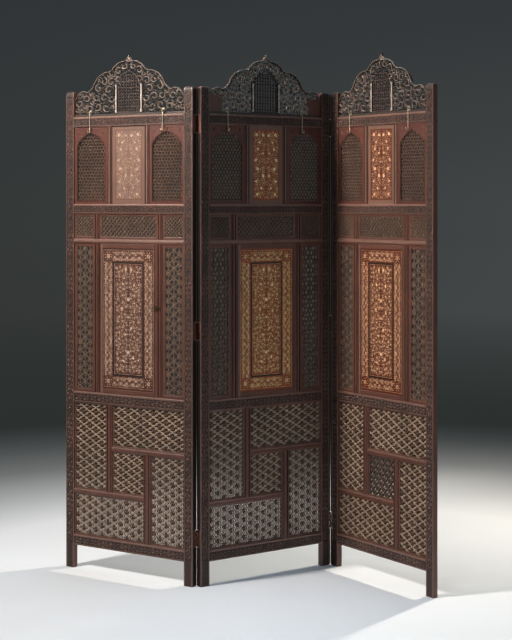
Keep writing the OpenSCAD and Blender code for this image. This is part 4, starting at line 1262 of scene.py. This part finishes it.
def inlaid_field(b, big, seed):
    """An arabesque over (left, right, bottom, top) whose halves mirror each other: scrolls of
    many sizes as stems, and the places of flowers and leaves."""
    dice = random.Random(seed)
    stems, flowers, leaves_at = [], [], []
    mid = (b[0] + b[1]) / 2
    radii = ((big, 80), (0.76 * big, 500), (0.56 * big, 1500), (0.38 * big, 4000))
    for x, z, r in packed((0.0, b[1] - mid, b[2], b[3]), radii, seed):
        start, hand = dice.uniform(0, 2 * math.pi), dice.choice((-1, 1))
        blades, path = [], []
        if r > 0.5 * big:
            path = spiral((x, z), 0.86 * r, start, 0.8, 0.5, hand, 9)
            flowers += [(mid + s * x, z, start, 0.36 * r) for s in (-1, 1)]
            count = dice.choice((5, 6)) if r < big else 7
            for k in range(count):
                a = start + hand * 2 * math.pi * (k + 0.3) / count
                blades.append((x + 0.84 * r * math.cos(a), z + 0.84 * r * math.sin(a),
                               a + hand * dice.uniform(0.7, 1.5), r * dice.uniform(0.46, 0.62)))
        else:
            for k in range(3):
                blades.append((x, z, start + 2.1 * k, 0.95 * r))
        for s in (-1, 1):
            if path:
                stems.append([(mid + s * p, q) for p, q in (path if s > 0 else path[::-1])])
            leaves_at += [(mid + s * p, q, a if s > 0 else math.pi - a, f)
                          for p, q, a, f in blades]
    return stems, flowers, leaves_at


def inlaid_band(start, end, wide, n):
    """A running vine of bone along a band, n turns long."""
    start, end = np.array(start, float), np.array(end, float)
    way = (end - start) / np.linalg.norm(end - start)
    left = np.array([-way[1], way[0]])
    far = np.linalg.norm(end - start)
    pitch = far / n
    angle = math.atan2(way[1], way[0])
    path, flowers, leaves_at = [], [], []
    for k in range(n * 10 + 1):
        p = start + way * far * k / (n * 10) + left * 0.23 * wide * math.sin(2 * math.pi * k / 10)
        path.append(tuple(p))
    for i in range(n):
        for side in (1, -1):
            x = (i + (0.25 if side > 0 else 0.75)) * pitch
            at = start + way * x - left * side * 0.17 * wide
            flowers.append((*at, angle + side, 0.17 * wide))
            for spread in (-1.1, -0.4, 0.4, 1.1):
                a = angle - side * math.pi / 2 + spread
                p = at + np.array([math.cos(a), math.sin(a)]) * 0.19 * wide
                leaves_at.append((*p, a, 0.17 * wide))
            for shift, lean in ((-0.13, 2.4), (0.13, 0.7), (-0.02, 1.57)):
                p = start + way * (x + shift * pitch) + left * side * 0.27 * wide
                leaves_at.append((*p, angle + side * lean, 0.18 * wide))
    return [path], flowers, leaves_at


def inlay(shape, parts, v, stem_width, rise, flower, leaf, bone, white=None):
    """Lays stems, flowers and leaves of bone on a ground at depth v. The flowers may be of
    whiter bone."""
    sized = lambda places: [(u, v, z, a, far / 10.0) for u, z, a, far in places]
    for stems, flowers, leaves_at in parts:
        for path in stems:
            ribbon(shape, path, stem_width, v + 0.05, v - rise, bone)
        repeated(shape, motif_tree(), sized(flowers), {"Motif": flower}, white or bone)
        repeated(shape, motif_tree(), sized(leaves_at), {"Motif": leaf}, bone)


def line_round(shape, b, wide, v0, v1, finish):
    """A flat line let in round (left, right, bottom, top), its outer edge on it."""
    h = wide / 2
    sweep(shape, rectangle(b, h), [(-h, v1), (-h, v0), (h, v0), (h, v1)], finish, loop=True)


def board(shape, b, v0, v1, finish, chamfer=0.8):
    """A plain panel with its four edges eased, its grain upright."""
    half = (b[1] - b[0]) / 2
    beam(shape, ((b[0] + b[1]) / 2, b[2]), ((b[0] + b[1]) / 2, b[3]), half, v0, v1,
         flat(half, finish, chamfer), finish, finish, chamfer, ends=chamfer)


# White flowers of an upper panel as (distance from its middle, share of its height from the
# top, radius), which stand in pairs, and of a door's field, from the bottom, which stand alone
TOP_WHITE = ((42, 0.06, 6.4), (12, 0.07, 5.6), (30, 0.17, 4.8), (36, 0.27, 5.2), (14, 0.33, 4.4),
             (46, 0.43, 5.6), (38, 0.56, 6.4), (13, 0.66, 6.4), (44, 0.74, 5.4), (22, 0.84, 4.6),
             (40, 0.93, 6.0))
DOOR_WHITE = ((0, 0.20, 6.2), (-22, 0.12, 4.6), (22, 0.15, 4.6), (-14, 0.36, 4.2),
              (14, 0.42, 4.8), (0, 0.68, 6.8), (-24, 0.82, 4.4), (26, 0.81, 4.4),
              (-12, 0.955, 5.4), (14, 0.955, 5.4), (0, 0.52, 4.4), (-28, 0.6, 4.0),
              (28, 0.57, 4.0))


class SCREEN_OT_panels(bpy.types.Operator):
    """Inlay the upper panels and the doors with bone"""
    bl_idname = "screen.panels"
    bl_label = "Inlaid Panels"

    def execute(self, context):
        flower = motif("inlaid_flower", inlaid_flower(10.0, 6))
        blade = motif("inlaid_leaf", inlaid_leaf(10.0, 6.2))
        thin = motif("thin_leaf", inlaid_leaf(10.0, 4.4))
        for leaf in LEAVES:
            self.top_panel(leaf, flower, thin)
            self.door_panel(leaf, flower, blade)
            self.door_frame(leaf)
        dropped(flower, blade, thin)
        return {"FINISHED"}

    @staticmethod
    def top_panel(leaf, flower, blade):
        """An upper panel: an arabesque with white flowers inside a plain border."""
        shape, b, v, rise = Shape(), TOP_PANEL, PANEL_V, mm("inlay_rise")
        # The left leaf's panel is all of the border's wood, and its bone is dull
        ground = "border" if leaf == "left" else "ground_" + leaf
        bone, white = "bone_" + leaf, "bright_" + leaf
        if leaf == "left":
            bone, white = "dull_left", "bone_left"
        board(shape, b, v, 15.0, ground)
        line_round(shape, b, PANEL_BORDER, v - 0.6, v + 0.2, "border")
        line_round(shape, shrunk(b, PANEL_BORDER), 1.2, v - 0.4, v + 0.2, "ground_" + leaf)
        field = shrunk(b, PANEL_BORDER + 3)
        inlay(shape, [inlaid_field(field, 10.5, sizes().seed)], v, 1.0, rise, flower, blade, bone)
        middle, tall = (field[0] + field[1]) / 2, field[3] - field[2]
        spots = [(middle + s * x, field[3] - share * tall, 0.3, size)
                 for x, share, size in TOP_WHITE for s in (-1, 1)]
        inlay(shape, [([], spots, [])], v - 0.1, 1.0, rise, flower, blade, white)
        finished(f"{leaf}_top_panel_inlaid", shape, leaf, f"{leaf}_leaf", [f"{leaf}_top_panel"])

    @staticmethod
    def door_panel(leaf, flower, blade):
        """A door's panel: a field of arabesque inside a dark line and a band of running vine."""
        shape, b, v, rise = Shape(), DOOR_PANEL, DOOR_V, mm("inlay_rise")
        bone, white = "bone_" + leaf, "bright_" + leaf
        board(shape, b, v, 13.0, "ground_" + leaf)
        ring = (b[0] + 2, b[1] - 2, b[2] + 8, b[3] - 6)
        field, frame_line = DOOR_FIELD, shrunk(DOOR_FIELD, -8)
        line_round(shape, ring, 0.9, v - 0.2, v + 0.2, bone)
        line_round(shape, frame_line, 6.0, v - 0.4, v + 0.2, "string")
        line_round(shape, shrunk(field, -2), 0.9, v - 0.3, v + 0.2, bone)
        # The band's middle line
        u0, u1, z0, z1 = ((a + c) / 2 for a, c in zip(ring, frame_line))
        wide, far = DOOR_BAND, DOOR_CORNER
        parts = [inlaid_band((u0, z0 + far), (u0, z1 - far), wide, 16),
                 inlaid_band((u1, z1 - far), (u1, z0 + far), wide, 16),
                 inlaid_band((u1 - far, z0), (u0 + far, z0), wide, 5),
                 inlaid_band((u0 + far, z1), (u1 - far, z1), wide, 5),
                 ([], [(u, z, 0.4, 9.0) for u in (u0, u1) for z in (z0, z1)],
                  [(u + 11 * math.cos(a), z + 11 * math.sin(a), a, 6.0)
                   for u in (u0, u1) for z in (z0, z1)
                   for a in (0.4, 1.2, 2.0, 2.8, 3.6, 4.4, 5.2, 6.0)])]
        inlay(shape, parts, v, 1.2, rise, flower, blade, bone)
        inlay(shape, [inlaid_field(shrunk(field, 1), 9.5, sizes().seed + 5)], v, 1.2, rise,
              flower, blade, bone, white)
        middle, tall = (field[0] + field[1]) / 2, field[3] - field[2]
        spots = [(middle + x, field[2] + share * tall, 0.2, size)
                 for x, share, size in DOOR_WHITE]
        inlay(shape, [([], spots, [])], v - 0.1, 1.0, rise, flower, blade, white)
        finished(f"{leaf}_door_panel_inlaid", shape, leaf, f"{leaf}_door",
                 [f"{leaf}_door_panel"])

    @staticmethod
    def door_frame(leaf):
        """A door's four members. The hinge stile is rounded about its pivot, as the solid is."""
        shape, d, w, c = Shape(), DOOR, DOOR_MEMBER, DOOR_MEMBER / 2
        rounded = [(-c, 2.4, "edge")]
        rounded += [(c * math.sin(t), 10.0 - c * math.cos(t), "plain_up")
                    for t in np.linspace(0, math.pi, 11)]
        rounded += [(-c, 18.0, "plain_up")]
        sweep(shape, [(d[0] + c, d[2]), (d[0] + c, d[3])], rounded, "plain_up")
        # The lock stile's small groove has a floor of the dark stringing finish, painted shade in
        # it
        beam(shape, (d[1] - c, d[2]), (d[1] - c, d[3]), c, 2.0, 18.0,
             [(1.2 - c, 0.0, "plain_up"), (c - 5.4, 0.0, "plain_up"), (c - 4.8, 1.6, "string"),
              (c - 3.8, 1.6, "plain_up"), (c - 3.2, 0.3, "plain_up"), (c - 1.4, 0.4, "plain_up")],
             "plain_up", "edge", ends=0.8)
        for z in (d[2] + c, d[3] - c):
            beam(shape, (d[0] + w, z), (d[1] - w, z), c, 2.2, 17.8, flat(c, "plain_level"),
                 "plain_level", "edge")
        finished(f"{leaf}_door_frame_moulded", shape, leaf, f"{leaf}_door",
                 [f"{leaf}_door_frame"])


# ---------------------------------------------------------------------------------------
# Crest
# ---------------------------------------------------------------------------------------

def crest_at(x, z):
    """A point of the crest, x from its middle and z above the rail, in the leaf's (u, z)."""
    return (MID_U + x, CREST_Z + z)


def crest_side():
    """The crest's outline from its apex down to the right post, in (x, z above the rail)."""
    knots = [(float(x), k * CREST_H) for x, k in CREST_KNOTS]
    out = []
    for i, swell in enumerate(CREST_SWELLS):
        out += arc(knots[i], knots[i + 1], swell, 6)[:-1]
    return out + [knots[-1]]


def crest_height(x):
    """The crest's height above the rail at a distance x from its middle."""
    side = crest_side()
    x = abs(x)
    for (x0, z0), (x1, z1) in zip(side, side[1:]):
        if x0 <= x <= x1 and x1 > x0:
            return z0 + (z1 - z0) * (x - x0) / (x1 - x0)
    return side[-1][1] if x > 200 else side[0][1]


def scroll_circles(seed):
    """Circles packed into the right half of the crest, largest first, that hold its scrolls."""
    dice = random.Random(seed)
    half, out = CREST_HALF, []
    width, sill, straight, rise = CREST_ARCH
    core = width / 2 + 2 * COLONETTE

    def room(x, z, r):
        """Whether a circle stays clear of the outline, the grille and the other circles."""
        if x < 0 or x + r > half - 1 or z - r < 9.0:
            return False
        if any(z + r * math.sin(t) + 3.0 > crest_height(x + r * math.cos(t))
               for t in (0.3, 0.8, 1.3, 1.57, 1.84, 2.3, 2.8)):
            return False
        if z - r < sill + straight + 1 and x - r < core:
            return False
        top = (0.0, sill + straight + rise - 24)
        if math.hypot(x - top[0], z - top[1]) < r + 28 or x < r * 0.96:
            return False
        return all(math.hypot(x - a, z - b) > 0.92 * (r + c) for a, b, c in out)

    for r, tries in ((17.0, 900), (14.0, 2000), (11.0, 4000), (8.6, 7000), (6.4, 9000),
                     (4.6, 12000)):
        for _ in range(tries):
            x, z = dice.uniform(0, half), dice.uniform(8, CREST_H)
            if room(x, z, r):
                out.append((x, z, r))
    return out


class SCREEN_OT_crests(bpy.types.Operator):
    """Pierce the crests with scrollwork, and set their grilles and colonettes"""
    bl_idname = "screen.crests"
    bl_label = "Crests"

    def execute(self, context):
        width, sill, straight, _ = CREST_ARCH
        circles = scroll_circles(sizes().seed)
        column = width / 2 + COLONETTE
        for leaf in LEAVES:
            shape = Shape()
            self.rim(shape)
            for s in (-1, 1):
                # The stile behind a colonette, its front of the dark ground finish: painted shade
                # behind the column
                beam(shape, crest_at(s * column, 8), crest_at(s * column, sill + straight + 3), 5.0,
                     9.4, 16.0, flat(5.0, "ground"), "crest", "ground")
                for x, z, r in circles:
                    # The middle crest has plain pieces at its ends instead of scrolls
                    if leaf == "middle" and x - r > CREST_BLOCK - 5 and z < CREST_BLOCK_TOP + 2:
                        continue
                    self.scroll(shape, s, x, z, r)
            if leaf == "middle":
                self.blocks(shape)
            # The bud at the apex
            for lean, far in ((0.0, 19.0), (0.7, 16.0), (-0.7, 16.0), (1.4, 14.0), (-1.4, 14.0)):
                petal(shape, crest_at(0, 199), math.pi / 2 + lean, far, 11.0, 9.5, 5.2,
                      "crest_light", CREST_BACK)
            finished(f"{leaf}_crest_pierced", shape, leaf, f"{leaf}_leaf", [f"{leaf}_crest"])
            shape = Shape()
            self.grille(shape)
            for s in (-1, 1):
                self.colonette(shape, *crest_at(s * column, sill - 2), straight)
            finished(f"{leaf}_crest_grille", shape, leaf, f"{leaf}_leaf",
                     [f"{leaf}_crest_arch"])
        return {"FINISHED"}

    @staticmethod
    def rim(shape):
        """The rim along the outline, the foot of the board and the frame of the grille."""
        width, sill, straight, rise = CREST_ARCH
        side = crest_side()
        outline = [(-x, z) for x, z in side[::-1]] + side[1:]
        # The rim's front chamfer and outer face are of the rubbed scrollwork finish: wear, and a
        # painted highlight along the top of the outline
        edge = [(-4.0, 8.6, "crest"), (-2.9, 6.0, "crest"), (-1.9, 5.2, "crest"),
                (-0.6, 5.2, "crest_light"), (0.0, 6.0, "crest_light"), (0.0, 15.8, "crest"),
                (-0.8, 16.8, "crest"), (-3.0, 16.8, "crest"), (-4.0, 13.5, "crest")]
        sweep(shape, [crest_at(x, z) for x, z in outline[::-1]],
              [(-a, d, f) for a, d, f in edge[::-1]], "crest")
        beam(shape, crest_at(-CREST_HALF, 4.5), crest_at(CREST_HALF, 4.5), 4.5, CREST_FRONT, 17.0,
             [(-4.0, 0.0, "crest"), (4.0, 0.0, "crest")], "crest", "crest", 0.5)
        arch = [crest_at(x, sill + z) for x, z in pointed(width + 5, straight, rise + 3, 8)]
        bead = [(-2.6, 8.0), (-1.6, 6.2), (1.6, 6.2), (2.6, 8.0), (2.6, 16.4), (-2.6, 16.4)]
        sweep(shape, arch, bead, "knot")
        foot = width / 2 + 3
        sweep(shape, [crest_at(-foot, sill - 2), crest_at(foot, sill - 2)], bead, "crest")

    @staticmethod
    def scroll(shape, s, x, z, r):
        """One scroll of the crest: a volute with leaves, or a rosette where it is small."""
        at = crest_at(s * x, z)
        hand = s * (1 if int(x * 0.37 + z * 0.53) % 2 else -1)
        start = math.atan2(z - 60.0, s * (x - 130.0))
        # The volutes and every second leaf are of the rubbed scrollwork finish: wear, and painted
        # highlights on the fronts of the scrolls
        worn = lambda k: "crest_light" if k % 2 else "crest"
        if r > 8:
            path = spiral(at, r - 1.4, start, 0.55 + 0.02 * r, 0.4, hand, 14)
            ribbon(shape, path, mm("crest_wood"), 8.0, 6.0, "crest_light",
                   taper=np.linspace(1.1, 0.8, 15), back=15.6)
            for k in range(3):
                petal(shape, at, start + k * 2.1, 0.40 * r, 0.20 * r, 9.0, CREST_FRONT, "crest",
                      14.5)
            n = 8 if r > 12 else 6
            for k in range(n):
                a = start + hand * (0.3 + 2 * math.pi * k / n)
                out = (at[0] + (r - 1.2) * math.cos(a), at[1] + (r - 1.2) * math.sin(a))
                petal(shape, out, a + hand * (1.1 if k % 2 else 0.35), 0.24 * r + 3.2, 3.4, 9.8,
                      6.6, worn(k), CREST_BACK)
        else:
            n = 5 if r > 5 else 4
            for k in range(n):
                petal(shape, at, start + 2 * math.pi * k / n, r * 1.12, r * 0.5, 9.5, CREST_FRONT,
                      worn(k), CREST_BACK)

    @staticmethod
    def blocks(shape):
        """The plain pieces let in at both ends of the middle crest."""
        side, low = crest_side(), 6.0
        outline = [(CREST_BLOCK, CREST_BLOCK_TOP)]
        outline += [(x, min(z - 3.0, CREST_BLOCK_TOP)) for x, z in side if x > CREST_BLOCK + 1]
        outline += [(CREST_HALF, side[-1][1] - 3.0), (CREST_HALF, low), (CREST_BLOCK, low)]
        for s in (-1, 1):
            front = [crest_at(s * x, z) for x, z in outline][::-s]
            n = len(front)
            points = [(u, v, z) for v in (7.6, 15.8) for u, z in front]
            faces = [tuple(range(n)), tuple(reversed(range(n, 2 * n)))]
            faces += [(k, k + n, (k + 1) % n + n, (k + 1) % n) for k in range(n)]
            shape.add(points, faces, "plain_up")

    @staticmethod
    def grille(shape):
        """Rows of beads on strong level rods in the pointed opening."""
        width, sill, straight, rise = CREST_ARCH
        pitch = width / 9
        rod = [(-1.8, 10.0), (-0.9, 8.7), (0.9, 8.7), (1.8, 10.0), (0.9, 12.4), (-0.9, 12.4)]
        places = []
        for j in range(int((straight + rise - 4) // pitch)):
            z = sill + (j + 0.6) * pitch
            over = max(0.0, (z - sill - straight) / rise)
            half = width / 2 * (1 - over ** 2.0)
            sweep(shape, [crest_at(-half, z), crest_at(half, z)], rod,
                  "bead_mid" if j % 2 else "knot")
            places += [(MID_U + (i - 4) * pitch, GRILLE_V, CREST_Z + z, 0.0, 1.0)
                       for i in range(9) if abs(i - 4) * pitch < half]
        SCREEN_OT_lattices.string(shape, places, pitch / 2, 2, 0.92, 0.9, "knot")

    @staticmethod
    def colonette(shape, u, z0, tall):
        """A slender turned column with rings at its foot and head."""
        mid = tall * 0.5
        rings = [(0, 4.4), (2.5, 4.4), (3.0, 3.2), (5.0, 3.0), (6.0, 4.2), (8.0, 4.2), (9.0, 2.6),
                 (14.0, 2.4), (mid - 4, 3.1), (mid - 2, 3.9), (mid + 2, 3.9), (mid + 4, 3.1),
                 (tall - 14, 2.4), (tall - 9, 2.6), (tall - 8, 4.2), (tall - 6, 4.2),
                 (tall - 5, 3.0), (tall - 3, 3.4), (tall - 2.5, 4.6), (tall, 4.6)]
        tube(shape, [(u, 7.6, z0 + z) for z, _ in rings], [r for _, r in rings], "pale", 10)


# ---------------------------------------------------------------------------------------
# Brass and steel
# ---------------------------------------------------------------------------------------

class SCREEN_OT_brass(bpy.types.Operator):
    """Bend the hooks, and give the hinges, pins, screws and catch their metals"""
    bl_idname = "screen.brass"
    bl_label = "Brass and Steel"

    def execute(self, context):
        for leaf in LEAVES:
            for side, u in HOOKS.items():
                shape = Shape()
                self.hook(shape, u)
                finished(f"{leaf}_hook_{side}_bent", shape, leaf, f"{leaf}_hook_{side}_swing",
                         [f"{leaf}_hook_{side}"])
        for name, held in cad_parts.items():
            if "pivots" in name or "screws" in name:
                metal = "steel"
            elif "hinge" in name or "catch" in name:
                metal = "bronzed"
            elif "staple" in name:
                metal = "brass"
            else:
                continue
            if not held.material_slots:
                held.data.materials.append(finishes()[metal])
            for place in held.material_slots:
                place.material = finishes()[metal]
        return {"FINISHED"}

    @staticmethod
    def hook(shape, u):
        """A hook of bent wire: the eye round its pin, a shank, a curl and a ball on the tip."""
        (v0, z0), r = HOOK_PIN, mm("hook_wire")
        eye = [(u, v0 + 2.6 * math.cos(t), z0 + 2.6 * math.sin(t))
               for t in np.linspace(-math.pi / 2 + 0.35, 3 * math.pi / 2 + 0.2, 13)]
        tube(shape, eye, 1.0, "brass", 8)
        v, bend = v0 + 1.2, 5.5
        shank = [(u, v0 + 1.1, z0 - 1.6)] + [(u, v, z0 - drop) for drop in (6, 30, 55, 70)]
        curl = [(u, v - bend + bend * math.cos(t), z0 - 70 - bend * math.sin(t))
                for t in np.linspace(0.3, math.pi + 0.25, 11)]
        radii = [1.2, r * 0.95, r, r, r] + [r * (1 - 0.25 * k / 10) for k in range(11)]
        tube(shape, shank + curl, radii, "brass", 10)
        tip = curl[-1]
        tube(shape, [(tip[0], tip[1], tip[2] + d) for d in (-1.2, 0.0, 1.2, 2.2, 2.9)],
             [0.9, 1.7, 1.9, 1.4, 0.4], "brass", 10)


# ---------------------------------------------------------------------------------------
# Stage
# ---------------------------------------------------------------------------------------

class SCREEN_OT_stage(bpy.types.Operator):
    """Lay the pale floor, set the soft studio lights and stand the camera"""
    bl_idname = "screen.stage"
    bl_label = "Stage"

    def execute(self, context):
        self.floor(context.scene)
        self.backdrop(context.scene)
        self.lights(context.scene)
        self.camera(context.scene)
        return {"FINISHED"}

    @classmethod
    def floor(cls, scene):
        """The floor, flat and far wider than the screen."""
        shape, n = Shape(), 48
        rings = (3.0, 6.0, 12.0, 40.0)
        points = [(0, 0, 0)] + [(r * math.cos(a), r * math.sin(a), 0) for r in rings
                                for a in np.linspace(0, 2 * math.pi, n + 1)[:-1]]
        faces = [(0, 1 + i, 1 + (i + 1) % n) for i in range(n)]
        for first in range(1, 1 + n * (len(rings) - 1), n):
            faces += [(first + i, first + n + i, first + n + (i + 1) % n, first + (i + 1) % n)
                      for i in range(n)]
        shape.add(points, faces, "floor")
        floor = bpy.data.objects.new("floor", shape.mesh("floor"))
        scene.collection.objects.link(floor)
        floor.data.materials.append(cls.floor_paint(scene.screen_colours))

    @classmethod
    def floor_paint(cls, c):
        """Matt floor paint. From a metre out it is blended into glowing slate, which paints the
        edge of the pool of light and its fall into the backdrop."""
        made, tree, shader, where = surface("studio_floor")
        shader.inputs["Base Color"].default_value = linear(c.floor)
        shader.inputs["Roughness"].default_value = 0.8
        pool = add_node(tree, "ShaderNodeVectorMath", {0: where, 1: (0.16, 0.0, 0.0)},
                        operation="SUBTRACT")
        far = add_node(tree, "ShaderNodeVectorMath", {0: pool.outputs["Vector"]},
                       operation="LENGTH")
        reach = add_node(tree, "ShaderNodeMapRange", {
            "Value": far.outputs["Value"], "From Min": 1.0, "From Max": 4.0})
        # The ramp is a painted falloff of the light: the share of glowing slate that replaces the
        # lit floor
        painted_falloff = add_node(tree, "ShaderNodeValToRGB", {"Fac": reach.outputs["Result"]})
        stops = painted_falloff.color_ramp.elements
        for place, level in ((0.0, 0.0), (0.13, 0.03), (0.28, 0.34), (0.50, 0.70), (0.78, 0.885)):
            stop = stops[0] if place == 0.0 else stops.new(place)
            stop.position, stop.color = place, (level, level, level, 1.0)
        distance = add_node(tree, "ShaderNodeMapRange", {
            "Value": far.outputs["Value"], "From Min": 4.5, "From Max": 13.0})
        behind = add_node(tree, "ShaderNodeMix", {
            0: distance.outputs["Result"], 6: linear(c.backdrop_low),
            7: cls.backdrop_shade(tree, where)}, data_type="RGBA")
        dark = add_node(tree, "ShaderNodeEmission", {"Color": behind.outputs[2], "Strength": 1.0})
        mixed = add_node(tree, "ShaderNodeMixShader", {
            "Fac": painted_falloff.outputs["Color"], 1: shader.outputs["BSDF"], 2: dark.outputs["Emission"]})
        out = [n for n in tree.nodes if n.bl_idname == "ShaderNodeOutputMaterial"][0]
        tree.links.new(mixed.outputs["Shader"], out.inputs["Surface"])
        return made

    @classmethod
    def backdrop(cls, scene):
        """The slate backdrop, all round and overhead."""
        world = bpy.data.worlds.new("backdrop")
        scene.world = world
        world.use_nodes = True
        sky = add_node(world.node_tree, "ShaderNodeTexCoord").outputs["Generated"]
        world.node_tree.links.new(cls.backdrop_shade(world.node_tree, sky),
                                  world.node_tree.nodes["Background"].inputs["Color"])
        scene.view_settings.view_transform = "Standard"
        scene.view_settings.look = "None"

    @staticmethod
    def area(scene, name, at, aim, wide, tall, power, tint, spread=180.0, glossy=True):
        """A soft box that the camera doesn't see."""
        lamp = bpy.data.lights.new(name, "AREA")
        lamp.shape, lamp.size, lamp.size_y = "RECTANGLE", wide, tall
        lamp.energy, lamp.color = power, linear(tint)[:3]
        lamp.spread = math.radians(spread)
        holder = bpy.data.objects.new(name, lamp)
        holder.location = at
        holder.rotation_euler = (Vector(aim) - Vector(at)).to_track_quat("-Z", "Y").to_euler()
        holder.visible_camera = False
        holder.visible_glossy = glossy
        scene.collection.objects.link(holder)

    @classmethod
    def lights(cls, scene):
        """The key stands high at the left, just behind the middle leaf's plane, so that the
        middle leaf and the right leaf's first post stay in shade."""
        key = (-2.3, -1.24, 3.0)
        cls.area(scene, "key", key, (0.0, 0.0, 1.25), 0.35, 0.5, 130.0, "#fff9f3")
        # A narrow lamp beside it lifts the tops of the outer leaves
        cls.area(scene, "top", key, (0.0, 0.0, 1.8), 0.3, 0.3, 3.5, "#fff2e6", 40.0)
        cls.area(scene, "overhead", (0.2, 0.7, 4.1), (0.1, 0.0, 0.0), 2.8, 2.0, 42.0, "#dcf4ff")
        cls.area(scene, "back", (1.86, 1.38, 1.95), (0.0, -0.3, 0.0), 0.14, 0.14, 66.0,
                 "#fff2e0", glossy=False)
        cls.area(scene, "fill", (3.3, -3.5, 1.7), (0.1, 0.1, 0.9), 1.6, 1.6, 37.0, "#dcf2ff")
        # A soft spot straight down on the floor in front of the folds
        cls.area(scene, "front", (0.25, -0.9, 2.9), (0.15, -0.5, 0.0), 0.5, 0.5, 1.0, "#dfeeff",
                 40.0)

    @staticmethod
    def camera(scene):
        """The camera. It is level, and its frame is shifted to where the horizon lies."""
        camera = bpy.data.cameras.new("camera")
        camera.sensor_width = 36.0
        camera.lens = sizes().lens
        camera.shift_y = (HORIZON_ROW - PICTURE_ROWS / 2) / PICTURE_ROWS
        holder = bpy.data.objects.new("camera", camera)
        (x, y), _ = LEAVES["middle"]
        holder.location = ((x + CAMERA[0]) / 1000, (y + CAMERA[1]) / 1000, CAMERA[2] / 1000)
        holder.rotation_euler = (math.pi / 2, 0.0, 0.0)
        scene.collection.objects.link(holder)
        scene.camera = holder

    @staticmethod
    def backdrop_shade(tree, way):
        """Slate that is a little lighter to the right and darker overhead."""
        c = bpy.context.scene.screen_colours
        unit = add_node(tree, "ShaderNodeVectorMath", {0: way}, operation="NORMALIZE")
        parts = add_node(tree, "ShaderNodeSeparateXYZ", {"Vector": unit.outputs["Vector"]})
        across = add_node(tree, "ShaderNodeMapRange", {
            "Value": parts.outputs["X"], "From Min": -0.22, "From Max": 0.22})
        level = add_node(tree, "ShaderNodeMix", {
            0: across.outputs["Result"], 6: linear(c.backdrop), 7: linear(c.backdrop_light)},
            data_type="RGBA")
        up = add_node(tree, "ShaderNodeMapRange", {
            "Value": parts.outputs["Z"], "From Min": 0.0, "From Max": 0.16})
        return add_node(tree, "ShaderNodeMix", {
            0: up.outputs["Result"], 6: level.outputs[2], 7: linear(c.backdrop_top)},
            data_type="RGBA").outputs[2]


class SCREEN_PT_panel(bpy.types.Panel):
    """The screen's pieces, in the order in which they are made"""
    bl_label = "Folding Screen"
    bl_idname = "SCREEN_PT_panel"
    bl_space_type = "VIEW_3D"
    bl_region_type = "UI"
    bl_category = "Screen"

    def draw(self, context):
        for name in STEPS:
            self.layout.operator("screen." + name)
        for group in (context.scene.screen_sizes, context.scene.screen_colours):
            box = self.layout.box()
            for name in group.__annotations__:
                box.prop(group, name)


STEPS = ("stage", "frame", "bars", "lattices", "arches", "panels", "crests", "brass")
CLASSES = (ScreenSizes, ScreenColours, SCREEN_OT_frame, SCREEN_OT_bars, SCREEN_OT_lattices,
           SCREEN_OT_arches, SCREEN_OT_panels, SCREEN_OT_crests, SCREEN_OT_brass,
           SCREEN_OT_stage, SCREEN_PT_panel)


def register():
    for one in CLASSES:
        bpy.utils.register_class(one)
    bpy.types.Scene.screen_sizes = bpy.props.PointerProperty(type=ScreenSizes)
    bpy.types.Scene.screen_colours = bpy.props.PointerProperty(type=ScreenColours)


def unregister():
    del bpy.types.Scene.screen_colours
    del bpy.types.Scene.screen_sizes
    for one in reversed(CLASSES):
        bpy.utils.unregister_class(one)


def main():
    register()
    for name in STEPS:
        getattr(bpy.ops.screen, name)()


if __name__ == "__main__":
    main()
